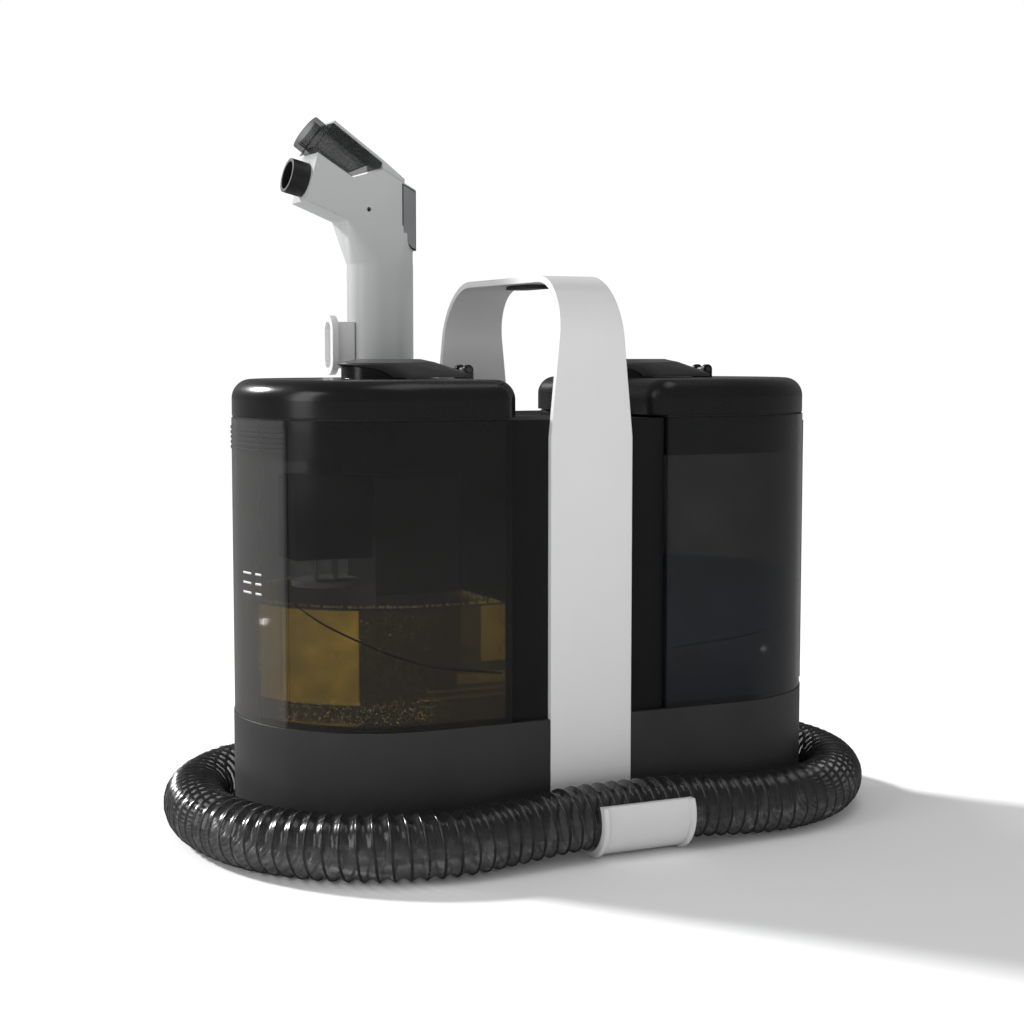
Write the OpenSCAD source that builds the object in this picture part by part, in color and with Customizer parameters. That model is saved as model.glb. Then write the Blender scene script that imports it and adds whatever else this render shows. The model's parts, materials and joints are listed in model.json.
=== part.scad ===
// Portable carpet cleaner: base, motor column, carry band, two lift-out tanks,
// a suction hose lying round the base and a hand tool parked in a rear dock.
// Millimetres. X runs along the length (clean tank at +X), the front is at -Y,
// and the floor is z = 0 under the middle of the base.

/* [Plan of the machine] */
// Radius of the rounded ends, half of the depth
end_radius = 80; // [76:0.5:84]
// Distance from the middle to the centre of each rounded end
end_centre = 92.5; // [88:0.5:98]
// Width of the motor column between the tanks
column_width = 92; // [88:1:96]

/* [Heights] */
// Height of the base, where the tanks stand
base_height = 70; // [64:1:78]
// Height of a tank from the base to its lid
tank_height = 161; // [140:1:180]
// Height of a lid
lid_height = 21; // [19:0.5:24]
// Top of the carry band
band_top = 308; // [298:1:320]

/* [Walls and fits] */
// Wall of the base and the column
shell_wall = 3; // [2.5:0.1:3.5]
// Wall of a tank
tank_wall = 2.5; // [2:0.1:3]
// Gap between lifted parts and what they stand in
lift_gap = 0.4; // [0.3:0.05:0.6]
// Radial clearance of a turning pin or shaft
running_gap = 0.05; // [0.02:0.01:0.09]

/* [Carry band] */
// Width of the band on the base
band_width = 49; // [44:1:52]
// Width of the band at its top
band_top_width = 32; // [28:1:36]
// Thickness of the band
band_thick = 3.5; // [3:0.1:4]
// Radius of the band's upper corners
band_corner = 34; // [26:1:44]

/* [Hose and hand tool] */
// Outer diameter of the hose
hose_d = 34; // [32:0.5:36]
// Height of the top of the grip tube
grip_top = 338; // [330:1:346]
// Height of the bottom of the grip tube
grip_bottom = 112; // [104:1:124]
// Half width of the hand tool's head
head_half = 14; // [12:0.5:16]

/* [Hidden] */
$fn = 96;
ROUND = 48;
HULL_ROUND = 32;
CAP_ROUND = 56;
EPS = 0.01;

tank_top = base_height + tank_height;
lid_seat = tank_top + 1.2;
lid_top = tank_top + lid_height;
plate_z = 4;
foot_d = 22;

// Column and tanks in plan
column_half = column_width / 2;
column_depth = end_radius - 3.5;
post_spots_x = [-column_half + 8, column_half - 8];
post_spots_z = [base_height + 18, tank_top - 14];
tank_in = column_half + 1;
tank_r = end_radius - 0.5;
lid_in = column_half - 6;
skirt_gap = lift_gap;
skirt_wall = 2;
skirt_z = tank_top - 21;
lid_corner = 14;
lid_round = 10.5;
lid_wall = 2.2;

// Carry band
band_y = end_radius;
band_in = band_y - band_thick;
groove_gap = 0.3;

// Power button, an oval in the top of the band
button_half = 12;
button_r = 6;
button_gap = 0.4;
button_travel = 1.5;

// Air and water ways
duct_x = -77;
duct_size = [50, 44];
duct_top = base_height + 128;
inlet_r = 15;
window_z = tank_top - 12;
window_size = [36, 11];
valve_x = 110;
valve_r = 11;
float_pos = [-133, -28];
float_box = [42, 30, 44];
float_box_z = tank_top - 73;
float_rod_gap = 11;
float_rod_r = 1.5;
float_disc_r = 18;
float_disc_z = float_box_z - 15;

// Flip caps stand over the necks of the lids
cap_x = 78;
neck_r = 18;
neck_bore = 15.5;
neck_shift = -16;
neck_top = lid_top + 6.8;
cap_r = 21;
cap_lip = lid_top + 7.5;
cap_crown = lid_top + 10.8;
tail_x = 29;
tail_r = 12.4;
hinge_x = 38;
hinge_z = lid_top + 4.6;
hinge_pin_r = 1.5;
ear_r = 3;
ear_y = 5.6;
ear_w = 2.6;

// Motor on the column's middle line
shaft_r = 4;
motor_r = 31;
motor_z = base_height + 8;
motor_h = 66;
fan_z = motor_z + motor_h + 6;
fan_r = 33;
board_y = -column_depth + shell_wall;

// Hose port at the back, cradle at the front
hose_r = hose_d / 2;
hose_rest = hose_r + 0.2;
hose_back = end_radius + 23;
port_x = 42;
port_end = 74;
port_z = 40;
gland_x = -93;
gland_z = 57;
gland_bore = 3.6;
cradle_y = end_radius + 21.5;
cradle_x = 13.5;
cradle_half = 27.5;
cradle_wall = 2.6;
cradle_lip = 9;
cradle_in = hose_r + 0.7;
cradle_z = cradle_in + cradle_wall + 0.2;

// Hand tool: grip axis, outline of the head in its own side view
grip_x = -50;
grip_y = end_radius + 24;
grip_round = 16;
grip_flat = 4.5;
cuff_r = 19.2;
cuff_bottom = grip_bottom - 14;
dock_z = 180;
dock_h = 22;
dock_gap = 0.5;
dock_wall = 3;
dock_arm = 10;
dock_foot = [-column_half + 2, -band_width / 2 - 1.5];
dock_screw_spots = [for (z = [dock_z - 1, dock_z + 16]) [(dock_foot[0] + dock_foot[1]) / 2, z]];
collar_h = 6;
flare_h = 18;
head_tip = [-101, 355.8];
head_throat = [-70, 343.4];
head_chin = [-53.7, 338.5];
head_heel = [-32, 328];
head_back = [-32, 364.6];
head_ridge = [-40.6, 369.2];
head_saddle = [-52.8, 376];
head_notch = [-72, 370.6];
head_brow = [-94, 384.3];
spine_end = [-84.1, 401.9];
spine_start = [-53.3, 379.9];
spine_wall = 1.6;
trigger_pivot = [-37, 333.5];
duct_gap = 0.35;
duct_mouth = [-90.5, 392.8];
duct_turn = -54.3;
duct_mouth_r = 11;
duct_mouth_h = 8;
duct_bore = 8.2;
spigot_root = [-93.7, 367.9];
spigot_turn = -76;
spigot_r = 10.4;
spigot_step = 4.4;
spigot_end = 15.4;
tool_screw_spots = [[-62, 352], [-50, 240], [-50, 140]];
boss_z = 271;

// Points along the middle of the hose, from the port round the machine to the grip
hose_points = [
    [74, 103, 17.2], [101, 100, 17.2], [131, 91, 17.2], [161, 71, 17.2], [183, 40, 17.2],
    [191, 5, 17.2], [187, -30, 17.2], [171, -62, 17.2], [145, -87, 17.2], [112, -100, 17.4],
    [80, -102, 18.6], [48, -101.5, 20.6], [13, -101.5, 21], [-20, -101.5, 20.6], [-55, -104, 18.6],
    [-92, -108, 17.4], [-128, -101, 17.2], [-160, -81, 17.2], [-183, -49, 17.2], [-193, -8, 17.2],
    [-190, 30, 17.2], [-178, 62, 17.2], [-157, 87, 17.4], [-130, 101, 18.4], [-104, 105, 23.6],
    [-82, 105, 35.2], [-65, 104.5, 52.4], [-54, 104, 74], [-50, 104, 98]
];
hose_steps = 3;
hose_sides = 12;

// ---------- shared outlines ----------

module stadium(r) {
    for (side = [-1, 1]) translate([side * end_centre, 0]) circle(r = r);
    square([2 * end_centre, 2 * r], center = true);
}

// The part of the stadium outside x = start, on the +X side
module end_plan(start, r) {
    intersection() {
        stadium(r);
        translate([start, -2 * r]) square([3 * r, 4 * r]);
    }
}

module band_slot(depth, width) {
    for (side = [-1, 1])
        translate([-width / 2, side * (band_in + depth / 2) - depth / 2, 0]) square([width, depth]);
}

module cyl_y(r, length) {
    rotate([90, 0, 0]) cylinder(r = r, h = length, center = true, $fn = ROUND);
}

module screw(r, length) {
    cylinder(r = r, h = length, $fn = 24);
    translate([0, 0, -2]) cylinder(r = 1.9 * r, h = 2, $fn = 24);
}

// ---------- base ----------

base_screw_spots = [for (x = [-120, -66, 66, 120]) for (y = [-52, 52]) [x, y]];
foot_spots = [for (x = [-120, 120]) for (y = [-34, 34]) [x, y]];

module base_outline_cuts() {
    translate([-band_width / 2 - groove_gap, band_in, -1])
        cube([band_width + 2 * groove_gap, 10, base_height + 2]);
    translate([-band_width / 2 - groove_gap, -band_in - 10, -1])
        cube([band_width + 2 * groove_gap, 10, base_height + 2]);
}

module base_shell() {
    color("dimgray") difference() {
        union() {
            difference() {
                translate([0, 0, plate_z]) linear_extrude(base_height - plate_z) stadium(end_radius);
                translate([0, 0, plate_z - 1])
                    linear_extrude(base_height - plate_z - shell_wall + 1)
                        stadium(end_radius - shell_wall);
            }
            for (side = [-1, 1])
                translate([-30, side * (band_in - 2) - 2, plate_z + 4])
                    cube([60, 4, base_height - plate_z - 5]);
            for (spot = base_screw_spots)
                translate([spot[0], spot[1], plate_z + 4.2])
                    cylinder(r = 5, h = base_height - plate_z - 6, $fn = ROUND);
        }
        base_outline_cuts();
        for (spot = base_screw_spots)
            translate([spot[0], spot[1], plate_z]) cylinder(r = 1.75, h = 16, $fn = 24);
        translate([duct_x, 0, base_height - 10]) cylinder(r = inlet_r + 3.2, h = 20);
        translate([valve_x, 0, base_height - 10]) cylinder(r = valve_r + 3.2, h = 20);
        translate([port_x, end_radius, port_z]) rotate([90, 0, 0]) cylinder(r = inlet_r + 0.2, h = 20, center = true);
        translate([gland_x, end_radius - 10, gland_z]) rotate([-90, 0, 0]) cylinder(r = 7.2, h = 20);
        for (x = [-36, 24]) translate([x, -40, base_height - 6]) cube([12, 80, 12]);
    }
}

module base_plate() {
    color("black") difference() {
        translate([0, 0, plate_z]) linear_extrude(4) stadium(end_radius - shell_wall - 0.2);
        translate([0, 0, -1]) linear_extrude(20) band_slot(8, band_width + 2 * groove_gap);
        for (spot = base_screw_spots)
            translate([spot[0], spot[1], 0]) {
                cylinder(r = 2.2, h = 12, $fn = 24);
                cylinder(r = 4.2, h = plate_z + 2.2, $fn = 24);
            }
        for (x = [-60 : 8 : -20]) translate([x, -8, 0]) cube([3, 36, 12]);
        for (x = [24 : 8 : 64]) translate([x, -8, 0]) cube([3, 36, 12]);
    }
}

module feet() {
    color("darkslategray") for (spot = foot_spots)
        translate([spot[0], spot[1], 0]) cylinder(d = foot_d, h = plate_z, $fn = ROUND);
}

module base_screws() {
    color("silver") for (spot = base_screw_spots)
        translate([spot[0], spot[1], plate_z + 2.2]) screw(1.7, 13);
}

// ---------- motor column ----------

module column_solid() {
    difference() {
        translate([-column_half, -column_depth, base_height])
            cube([column_width, 2 * column_depth, tank_height - 0.2]);
        translate([-column_half + shell_wall, -column_depth + shell_wall, base_height - 1])
            cube([column_width - 2 * shell_wall, 2 * (column_depth - shell_wall),
                  tank_height - shell_wall + 0.8]);
        translate([-column_half - 1, -window_size[0] / 2, window_z - window_size[1] / 2])
            cube([10, window_size[0], window_size[1]]);
        for (z = [100 : 7 : 156]) translate([10, column_depth - 8, z]) cube([26, 20, 3]);
    }
}

module column_posts() {
    for (x = post_spots_x) for (z = post_spots_z)
        translate([x, 0, z]) cyl_y(4, 2 * column_depth - 4);
}

module column_holes() {
    for (x = post_spots_x) for (z = post_spots_z) {
        translate([x, 0, z]) cyl_y(1.75, 60);
        translate([x, 20 + column_depth / 2, z]) cyl_y(2.1, column_depth);
        translate([x, 0, z]) rotate([-90, 0, 0])
            translate([0, 0, column_depth - 3]) cylinder(r = 3.6, h = 10, $fn = 24);
    }
    for (spot = dock_screw_spots) translate([spot[0], column_depth, spot[1]]) cyl_y(1.75, 20);
}

module column_half_shell(front) {
    difference() {
        intersection() {
            union() {
                column_solid();
                column_posts();
            }
            translate([-200, front ? -200 : 0, 0]) cube([400, 200, 600]);
        }
        column_holes();
    }
}

module column_front() {
    color("black") column_half_shell(true);
}

module column_back() {
    color("black") column_half_shell(false);
}

module column_screws() {
    color("silver") for (x = post_spots_x) for (z = post_spots_z)
        translate([x, column_depth - 3, z]) rotate([90, 0, 0]) screw(1.7, column_depth + 12);
}

// ---------- carry band ----------

// Side view of the arch, as a solid arch of the given outer half depth and top
module arch_side(y, top, r) {
    translate([-y, 0]) square([2 * y, top - r]);
    translate([-y + r, 0]) square([2 * (y - r), top]);
    for (side = [-1, 1]) translate([side * (y - r), top - r]) circle(r = r);
}

// Front view of the band: straight on the base, then tapering to the top
module band_front() {
    polygon([
        [-band_width / 2, plate_z], [band_width / 2, plate_z], [band_width / 2, tank_top - 10],
        [band_top_width / 2, band_top + 1], [-band_top_width / 2, band_top + 1],
        [-band_width / 2, tank_top - 10]
    ]);
}

module carry_band() {
    color("white") difference() {
        intersection() {
            rotate([90, 0, 90]) linear_extrude(80, center = true) difference() {
                arch_side(band_y, band_top, band_corner);
                translate([0, -1]) arch_side(band_in, band_top - band_thick + 1,
                                             band_corner - band_thick);
            }
            rotate([90, 0, 0]) linear_extrude(200, center = true) band_front();
        }
        translate([0, 0, band_top - 20]) linear_extrude(40) button_plan(button_gap);
    }
}

module button_plan(grow) {
    for (side = [-1, 1]) translate([0, side * button_half]) circle(r = button_r + grow, $fn = ROUND);
    square([2 * (button_r + grow), 2 * button_half], center = true);
}

module power_button() {
    color("black") {
        translate([0, 0, band_top - band_thick - 0.4])
            linear_extrude(band_thick + 0.8) button_plan(0);
        translate([0, 0, band_top - band_thick - 2.2]) linear_extrude(1.8) button_plan(1.2);
    }
}

// ---------- hose cradle at the front ----------

// Section of the hook in its own side view: a foot under the base and a half ring in front
module hook_section() {
    low = -cradle_in - cradle_wall;
    difference() {
        union() {
            circle(r = cradle_in + cradle_wall);
            translate([0, low]) square([cradle_y - band_in + 8, cradle_wall]);
        }
        circle(r = cradle_in);
        translate([0, -cradle_in]) square([60, 60]);
        translate([-60, cradle_lip]) square([120, 60]);
    }
    translate([cradle_y - end_radius + 0.5, low]) square([end_radius - band_in + 7.5, plate_z - 0.2]);
}

// Rim that stiffens an end of the hook
module hook_rim() {
    difference() {
        circle(r = cradle_in + cradle_wall + 1.4);
        circle(r = cradle_in + cradle_wall - 0.5);
        translate([0, -60]) square([60, 120]);
        translate([-60, cradle_lip]) square([120, 60]);
        translate([-60, -60 - cradle_z + 0.3]) square([120, 60]);
    }
}

module hose_cradle() {
    color("white") translate([cradle_x, -cradle_y, cradle_z]) rotate([90, 0, 90]) {
        linear_extrude(2 * cradle_half, center = true) hook_section();
        for (side = [-1, 1]) translate([0, 0, side * (cradle_half - 1.5)])
            linear_extrude(3, center = true) hook_rim();
    }
}

// ---------- motor, fan, pump and controls ----------

module motor_can() {
    color("silver") difference() {
        union() {
            translate([0, 0, motor_z]) cylinder(r = motor_r, h = motor_h);
            translate([0, 0, motor_z - 8]) cylinder(r = 11, h = 9);
        }
        translate([0, 0, motor_z + 3]) cylinder(r = motor_r - 3, h = motor_h - 6);
        translate([0, 0, motor_z - 20]) cylinder(r = 8, h = motor_h + 40, $fn = ROUND);
    }
}

module motor_bearings() {
    color("lightgray") for (z = [motor_z - 7, motor_z + motor_h - 7]) translate([0, 0, z])
        difference() {
            cylinder(r = 8, h = 7, $fn = ROUND);
            translate([0, 0, -1]) cylinder(r = shaft_r + running_gap, h = 9, $fn = ROUND);
        }
}

module motor_rotor() {
    color("gray") {
        translate([0, 0, motor_z - 7.5]) cylinder(r = shaft_r, h = motor_h + 33.5, $fn = ROUND);
        translate([0, 0, motor_z + 8]) cylinder(r = 18, h = motor_h - 22);
    }
}

module fan_wheel() {
    color("dimgray") difference() {
        union() {
            translate([0, 0, fan_z]) cylinder(r = fan_r, h = 2);
            translate([0, 0, fan_z]) cylinder(r = 9, h = 14, $fn = ROUND);
            for (a = [0 : 45 : 315]) rotate([0, 0, a])
                translate([7, -0.8, fan_z + 1]) cube([fan_r - 8, 1.6, 12]);
        }
        translate([0, 0, fan_z - 1]) cylinder(r = shaft_r, h = 30, $fn = ROUND);
    }
}

module fan_housing() {
    color("darkgray") difference() {
        translate([0, 0, motor_z + motor_h]) cylinder(r = fan_r + 6, h = 30);
        translate([0, 0, motor_z + motor_h + 3]) cylinder(r = fan_r + 3, h = 24);
        translate([0, 0, motor_z + motor_h - 1]) cylinder(r = 12, h = 60, $fn = ROUND);
        translate([0, 20, motor_z + motor_h + 4]) cube([20, 60, 22]);
    }
}

module water_pump() {
    color("slategray") difference() {
        union() {
            translate([valve_x - 18, -22, plate_z + 4]) cube([36, 44, 36]);
            translate([valve_x, 22, 28]) rotate([-90, 0, 0]) cylinder(r = 13, h = 24, $fn = ROUND);
        }
        translate([valve_x, 0, 30]) cylinder(r = 4, h = 40, $fn = ROUND);
    }
}

module pump_outlet() {
    color("lightgray") difference() {
        translate([70, -12, 26]) rotate([0, 90, 0]) cylinder(r = 3.2, h = 22, $fn = ROUND);
        translate([69, -12, 26]) rotate([0, 90, 0]) cylinder(r = 2, h = 30, $fn = ROUND);
    }
}

module control_board() {
    color("green") {
        translate([-30, board_y, 96]) cube([60, 1.6, 44]);
        translate([-20, board_y + 1.6, 106]) cube([18, 10, 14]);
        translate([8, board_y + 1.6, 108]) cube([12, 12, 18]);
    }
}

module cord_gland() {
    color("black") translate([gland_x, 0, gland_z]) rotate([-90, 0, 0]) difference() {
        union() {
            translate([0, 0, end_radius - 22]) cylinder(r = 7, h = 22, $fn = ROUND);
            translate([0, 0, end_radius]) cylinder(r = 9, h = 2.5, $fn = ROUND);
            translate([0, 0, end_radius + 2]) cylinder(r = 6, h = 9, $fn = ROUND);
        }
        translate([0, 0, end_radius - 30]) cylinder(r = gland_bore, h = 60, $fn = ROUND);
    }
}

// ---------- suction way in the base ----------

module duct_seal() {
    color("black") translate([duct_x, 0, 0]) difference() {
        translate([0, 0, base_height - shell_wall]) cylinder(r = inlet_r + 3.1, h = shell_wall);
        translate([0, 0, base_height - 10]) cylinder(r = inlet_r, h = 20);
    }
}

module suction_elbow() {
    color("gray") difference() {
        union() {
            translate([duct_x, 0, 24]) cylinder(r = inlet_r + 2, h = base_height - shell_wall - 24.1);
            translate([duct_x, -17, 24]) cube([port_x - duct_x + 17, 34, 32]);
            translate([port_x, -17, port_z]) rotate([-90, 0, 0])
                cylinder(r = inlet_r, h = band_in - 0.5 + 17);
        }
        translate([duct_x, 0, 27]) cylinder(r = inlet_r - 1, h = 60);
        translate([duct_x - 5, -14, 27]) cube([port_x - duct_x + 18, 28, 26]);
        translate([port_x, 0, port_z]) rotate([-90, 0, 0]) cylinder(r = inlet_r - 2, h = 2 * end_radius);
    }
}

module hose_port() {
    color("black") difference() {
        union() {
            translate([port_x, end_radius, port_z]) rotate([-90, 0, 0]) {
                cylinder(r = inlet_r + 2, h = 3);
                cylinder(r = inlet_r + 1, h = 20);
            }
            translate([port_x - 16, hose_back - 18, 3]) cube([32, 34, 53]);
            translate([port_x, hose_back, hose_rest]) rotate([0, 90, 0])
                cylinder(r = hose_r - 0.6, h = port_end - port_x);
        }
        translate([port_x, end_radius - 1, port_z]) rotate([-90, 0, 0])
            cylinder(r = inlet_r - 2, h = 24);
        translate([port_x - 13, hose_back - 15, 6]) cube([26, 28, 47]);
        translate([port_x, hose_back, hose_rest]) rotate([0, 90, 0])
            cylinder(r = inlet_r - 2, h = 60);
    }
}

module window_seal() {
    color("black") difference() {
        translate([-tank_in + 0.3, -window_size[0] / 2 - 2.5, window_z - window_size[1] / 2 - 2.5])
            cube([tank_in - 0.3 - column_half, window_size[0] + 5, window_size[1] + 5]);
        translate([-60, -window_size[0] / 2, window_z - window_size[1] / 2])
            cube([30, window_size[0], window_size[1]]);
    }
}

module valve_seat() {
    color("black") translate([valve_x, 0, 0]) difference() {
        union() {
            translate([0, 0, base_height - shell_wall - 2]) cylinder(r = valve_r + 3.1, h = shell_wall + 2);
            translate([0, 0, 44.1]) cylinder(r = 5.5, h = 24, $fn = ROUND);
        }
        translate([0, 0, base_height - shell_wall]) cylinder(r = valve_r + 0.6, h = 20);
        translate([0, 0, 30]) cylinder(r = 3, h = 60, $fn = ROUND);
    }
}

// ---------- tanks ----------

module tank_shell() {
    difference() {
        union() {
            translate([0, 0, base_height + 0.2])
                linear_extrude(tank_height - 0.2) end_plan(tank_in, tank_r);
            for (k = [0 : 4])
                translate([end_centre, 0, tank_top - 16.5 + 2.7 * k]) rib_arc(1.3, 0.5);
            for (a = [-33, 33]) rotate_about_end(a)
                translate([tank_r - 0.3, -0.6, base_height + 4]) cube([0.8, 1.2, tank_height - 8]);
        }
        translate([0, 0, base_height + tank_wall])
            linear_extrude(tank_height) end_plan(tank_in + tank_wall, tank_r - tank_wall);
    }
}

module rotate_about_end(a) {
    translate([end_centre, 0, 0]) rotate([0, 0, a]) children();
}

// A flat ridge round the outer end of a tank
module rib_arc(height, proud) {
    intersection() {
        difference() {
            cylinder(r = tank_r + proud, h = height);
            translate([0, 0, -1]) cylinder(r = tank_r - 0.2, h = height + 2);
        }
        translate([0, -44, -1]) cube([120, 88, height + 2]);
    }
}

module dirty_tank() {
    color([0.32, 0.31, 0.29, 0.5]) difference() {
        mirror([1, 0, 0]) tank_shell();
        translate([duct_x, 0, base_height - 5]) cylinder(r = inlet_r, h = 20);
        translate([-60, -window_size[0] / 2, window_z - window_size[1] / 2])
            cube([20, window_size[0], window_size[1]]);
    }
}

module standpipe() {
    color("gray") difference() {
        translate([duct_x - duct_size[0] / 2, -duct_size[1] / 2, base_height + tank_wall])
            cube([duct_size[0], duct_size[1], duct_top - base_height - tank_wall]);
        translate([duct_x - duct_size[0] / 2 + 2, -duct_size[1] / 2 + 2, base_height])
            cube([duct_size[0] - 4, duct_size[1] - 4, duct_top - base_height - 2]);
        translate([duct_x - duct_size[0] / 2 - 5, -15, duct_top - 26]) cube([12, 30, 18]);
    }
}

module clean_tank() {
    color([0.36, 0.38, 0.4, 0.5]) difference() {
        tank_shell();
        translate([valve_x, 0, base_height - 5]) cylinder(r = valve_r, h = 20, $fn = ROUND);
    }
}

module valve_body() {
    color("white") translate([valve_x, 0, base_height + 0.2]) difference() {
        union() {
            cylinder(r = valve_r, h = 12, $fn = ROUND);
            translate([0, 0, tank_wall - 0.2]) cylinder(r = valve_r + 3, h = 3, $fn = ROUND);
        }
        translate([0, 0, -1]) cylinder(r = 4 + running_gap, h = 30, $fn = ROUND);
        translate([0, 0, -1]) cylinder(r = 8, h = 5, $fn = ROUND);
        for (x = [-6.1, 6.1]) translate([x, 0, -1]) cylinder(r = 1.4, h = 30, $fn = 24);
    }
}

module valve_plunger() {
    color("orange") translate([valve_x, 0, base_height + 0.2]) {
        translate([0, 0, 1]) cylinder(r = 4, h = 17, $fn = ROUND);
        translate([0, 0, 12.3]) cylinder(r = 8.5, h = 1.8, $fn = ROUND);
    }
}

// ---------- lids ----------

// Half section of a lid's body: a block with its outer top edge rounded
module lid_edge(reach, floor_z, top_z, round_r) {
    translate([0, floor_z]) square([reach, top_z - round_r - floor_z]);
    translate([0, floor_z]) square([reach - round_r, top_z - floor_z]);
    intersection() {
        translate([reach - round_r, top_z - round_r]) circle(r = round_r);
        translate([reach - round_r, top_z - round_r]) square(2 * round_r);
    }
}

// Body of a lid: a round outer end, straight sides and two round inner corners
module lid_form(inset, floor_z, top_z, round_r) {
    corner = lid_corner - inset;
    reach = tank_r - 0.3 - inset;
    inner = lid_in + lid_corner;
    translate([end_centre, 0, 0]) rotate([0, 0, -90]) rotate_extrude(angle = 180)
        lid_edge(reach, floor_z, top_z, round_r);
    translate([inner, 0, 0]) rotate([90, 0, 90]) linear_extrude(end_centre - inner) {
        lid_edge(reach, floor_z, top_z, round_r);
        mirror([1, 0]) lid_edge(reach, floor_z, top_z, round_r);
    }
    for (side = [-1, 1]) translate([inner, side * (reach - corner), 0])
        rotate([0, 0, side > 0 ? 90 : 180]) rotate_extrude(angle = 90)
            lid_edge(corner, floor_z, top_z, round_r);
    translate([inner, 0, 0]) rotate([90, 0, 0]) linear_extrude(2 * (reach - corner), center = true)
        mirror([1, 0]) lid_edge(corner, floor_z, top_z, round_r);
}

module lid() {
    difference() {
        union() {
            lid_form(0, lid_seat, lid_top, lid_round);
            translate([0, 0, skirt_z]) linear_extrude(lid_seat + 2 - skirt_z)
                end_plan(tank_in + tank_wall + skirt_gap, tank_r - tank_wall - skirt_gap);
        }
        lid_form(lid_wall, lid_seat + lid_wall, lid_top - lid_wall, lid_round - lid_wall);
        translate([0, 0, skirt_z - 1]) linear_extrude(lid_seat + 4 - skirt_z)
            end_plan(tank_in + tank_wall + skirt_gap + skirt_wall,
                     tank_r - tank_wall - skirt_gap - skirt_wall);
    }
}

module neck_and_ears(x) {
    translate([x + neck_shift, 0, lid_top - 2.4]) cylinder(r = neck_r, h = neck_top - lid_top + 2.4);
    for (side = [-1, 1]) translate([x + hinge_x, side * ear_y, 0]) {
        translate([0, 0, hinge_z]) cyl_y(ear_r, ear_w);
        translate([-ear_r, -ear_w / 2, lid_top - 1]) cube([2 * ear_r, ear_w, hinge_z - lid_top + 1]);
    }
}

module neck_cuts(x) {
    translate([x + neck_shift, 0, lid_top - 20]) cylinder(r = neck_bore, h = 40);
    translate([x + hinge_x, 0, hinge_z]) cyl_y(hinge_pin_r, 40);
}

module dirty_lid() {
    color([0.16, 0.16, 0.16]) difference() {
        union() {
            mirror([1, 0, 0]) lid();
            neck_and_ears(-cap_x);
            translate([float_pos[0], float_pos[1], float_box_z + float_box[2]])
                cylinder(r = 9, h = lid_top - 2 - float_box_z - float_box[2], $fn = ROUND);
        }
        neck_cuts(-cap_x);
        translate([float_pos[0], float_pos[1], float_box_z + float_box[2] - 1])
            cylinder(r = 6.5, h = 24, $fn = ROUND);
        for (a = [0, 90]) translate([float_pos[0], float_pos[1], lid_seat + 4]) rotate([90, 0, a])
            cylinder(r = 4, h = 30, center = true, $fn = ROUND);
        translate([-60, -window_size[0] / 2, window_z - window_size[1] / 2])
            cube([20, window_size[0], window_size[1]]);
    }
}

module clean_lid() {
    color([0.16, 0.16, 0.16]) difference() {
        union() {
            lid();
            neck_and_ears(cap_x);
        }
        neck_cuts(cap_x);
    }
}

module lid_seal() {
    color("black") translate([0, 0, tank_top + 0.1]) linear_extrude(lid_seat - tank_top - 0.1)
        difference() {
            end_plan(tank_in + 0.4, tank_r - 0.6);
            end_plan(tank_in + tank_wall + 0.3, tank_r - tank_wall - 0.3);
        }
}

module dirty_lid_seal() {
    mirror([1, 0, 0]) lid_seal();
}

module clean_lid_seal() {
    lid_seal();
}

module flip_cap(x) {
    color([0.2, 0.2, 0.2]) translate([x, 0, 0]) difference() {
        hull() {
            translate([-15, 0, cap_lip]) cylinder(r = cap_r, h = 1.2, $fn = CAP_ROUND);
            translate([-4, 0, lid_top + 0.5]) cylinder(r = cap_r - 1, h = 1.2, $fn = CAP_ROUND);
            translate([-15, 0, cap_crown - 1.7])
                cylinder(r1 = cap_r - 4, r2 = cap_r - 12, h = 1.7, $fn = CAP_ROUND);
            translate([4, 0, cap_crown - 1.7])
                cylinder(r1 = cap_r - 6, r2 = cap_r - 14, h = 1.7, $fn = CAP_ROUND);
            translate([tail_x, 0, lid_top + 0.5]) cylinder(r = tail_r, h = 1.9, $fn = CAP_ROUND);
        }
        // lifted edge over the neck
        translate([0, 60, 0]) rotate([90, 0, 0]) linear_extrude(120)
            polygon([[-60, lid_top - 2], [-60, cap_lip], [-34, cap_lip], [-23, cap_lip - 3.4],
                     [-11, lid_top - 2]]);
        translate([neck_shift, 0, lid_top]) cylinder(r = neck_r + 0.5, h = neck_top + 0.3 - lid_top);
        // room for the ears of the lid, and round about the pin behind them
        for (side = [-1, 1])
            translate([hinge_x - ear_r - 0.6, side * ear_y - ear_w / 2 - 0.4, lid_top - 1])
                cube([20, ear_w + 0.8, 12]);
        translate([hinge_x, 0, hinge_z]) cyl_y(hinge_pin_r + running_gap, 40);
        difference() {
            translate([hinge_x, -30, lid_top - 2]) cube([20, 60, hinge_z - lid_top + 2]);
            translate([hinge_x, 0, hinge_z]) cyl_y(4, 80);
        }
    }
}

module cap_seal(x) {
    color("black") translate([x + neck_shift, 0, neck_top - 2.4]) difference() {
        cylinder(r = neck_bore - 0.5, h = 2.7);
        translate([0, 0, -1]) cylinder(r = neck_bore - 3.5, h = 8);
    }
}

module cap_pin(x) {
    color("silver") translate([x + hinge_x, 0, hinge_z]) cyl_y(hinge_pin_r, 15.4);
}

module dirty_cap() { flip_cap(-cap_x); }
module dirty_cap_seal() { cap_seal(-cap_x); }
module dirty_cap_pin() { cap_pin(-cap_x); }
module clean_cap() { flip_cap(cap_x); }
module clean_cap_seal() { cap_seal(cap_x); }
module clean_cap_pin() { cap_pin(cap_x); }

// ---------- float ----------

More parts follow.
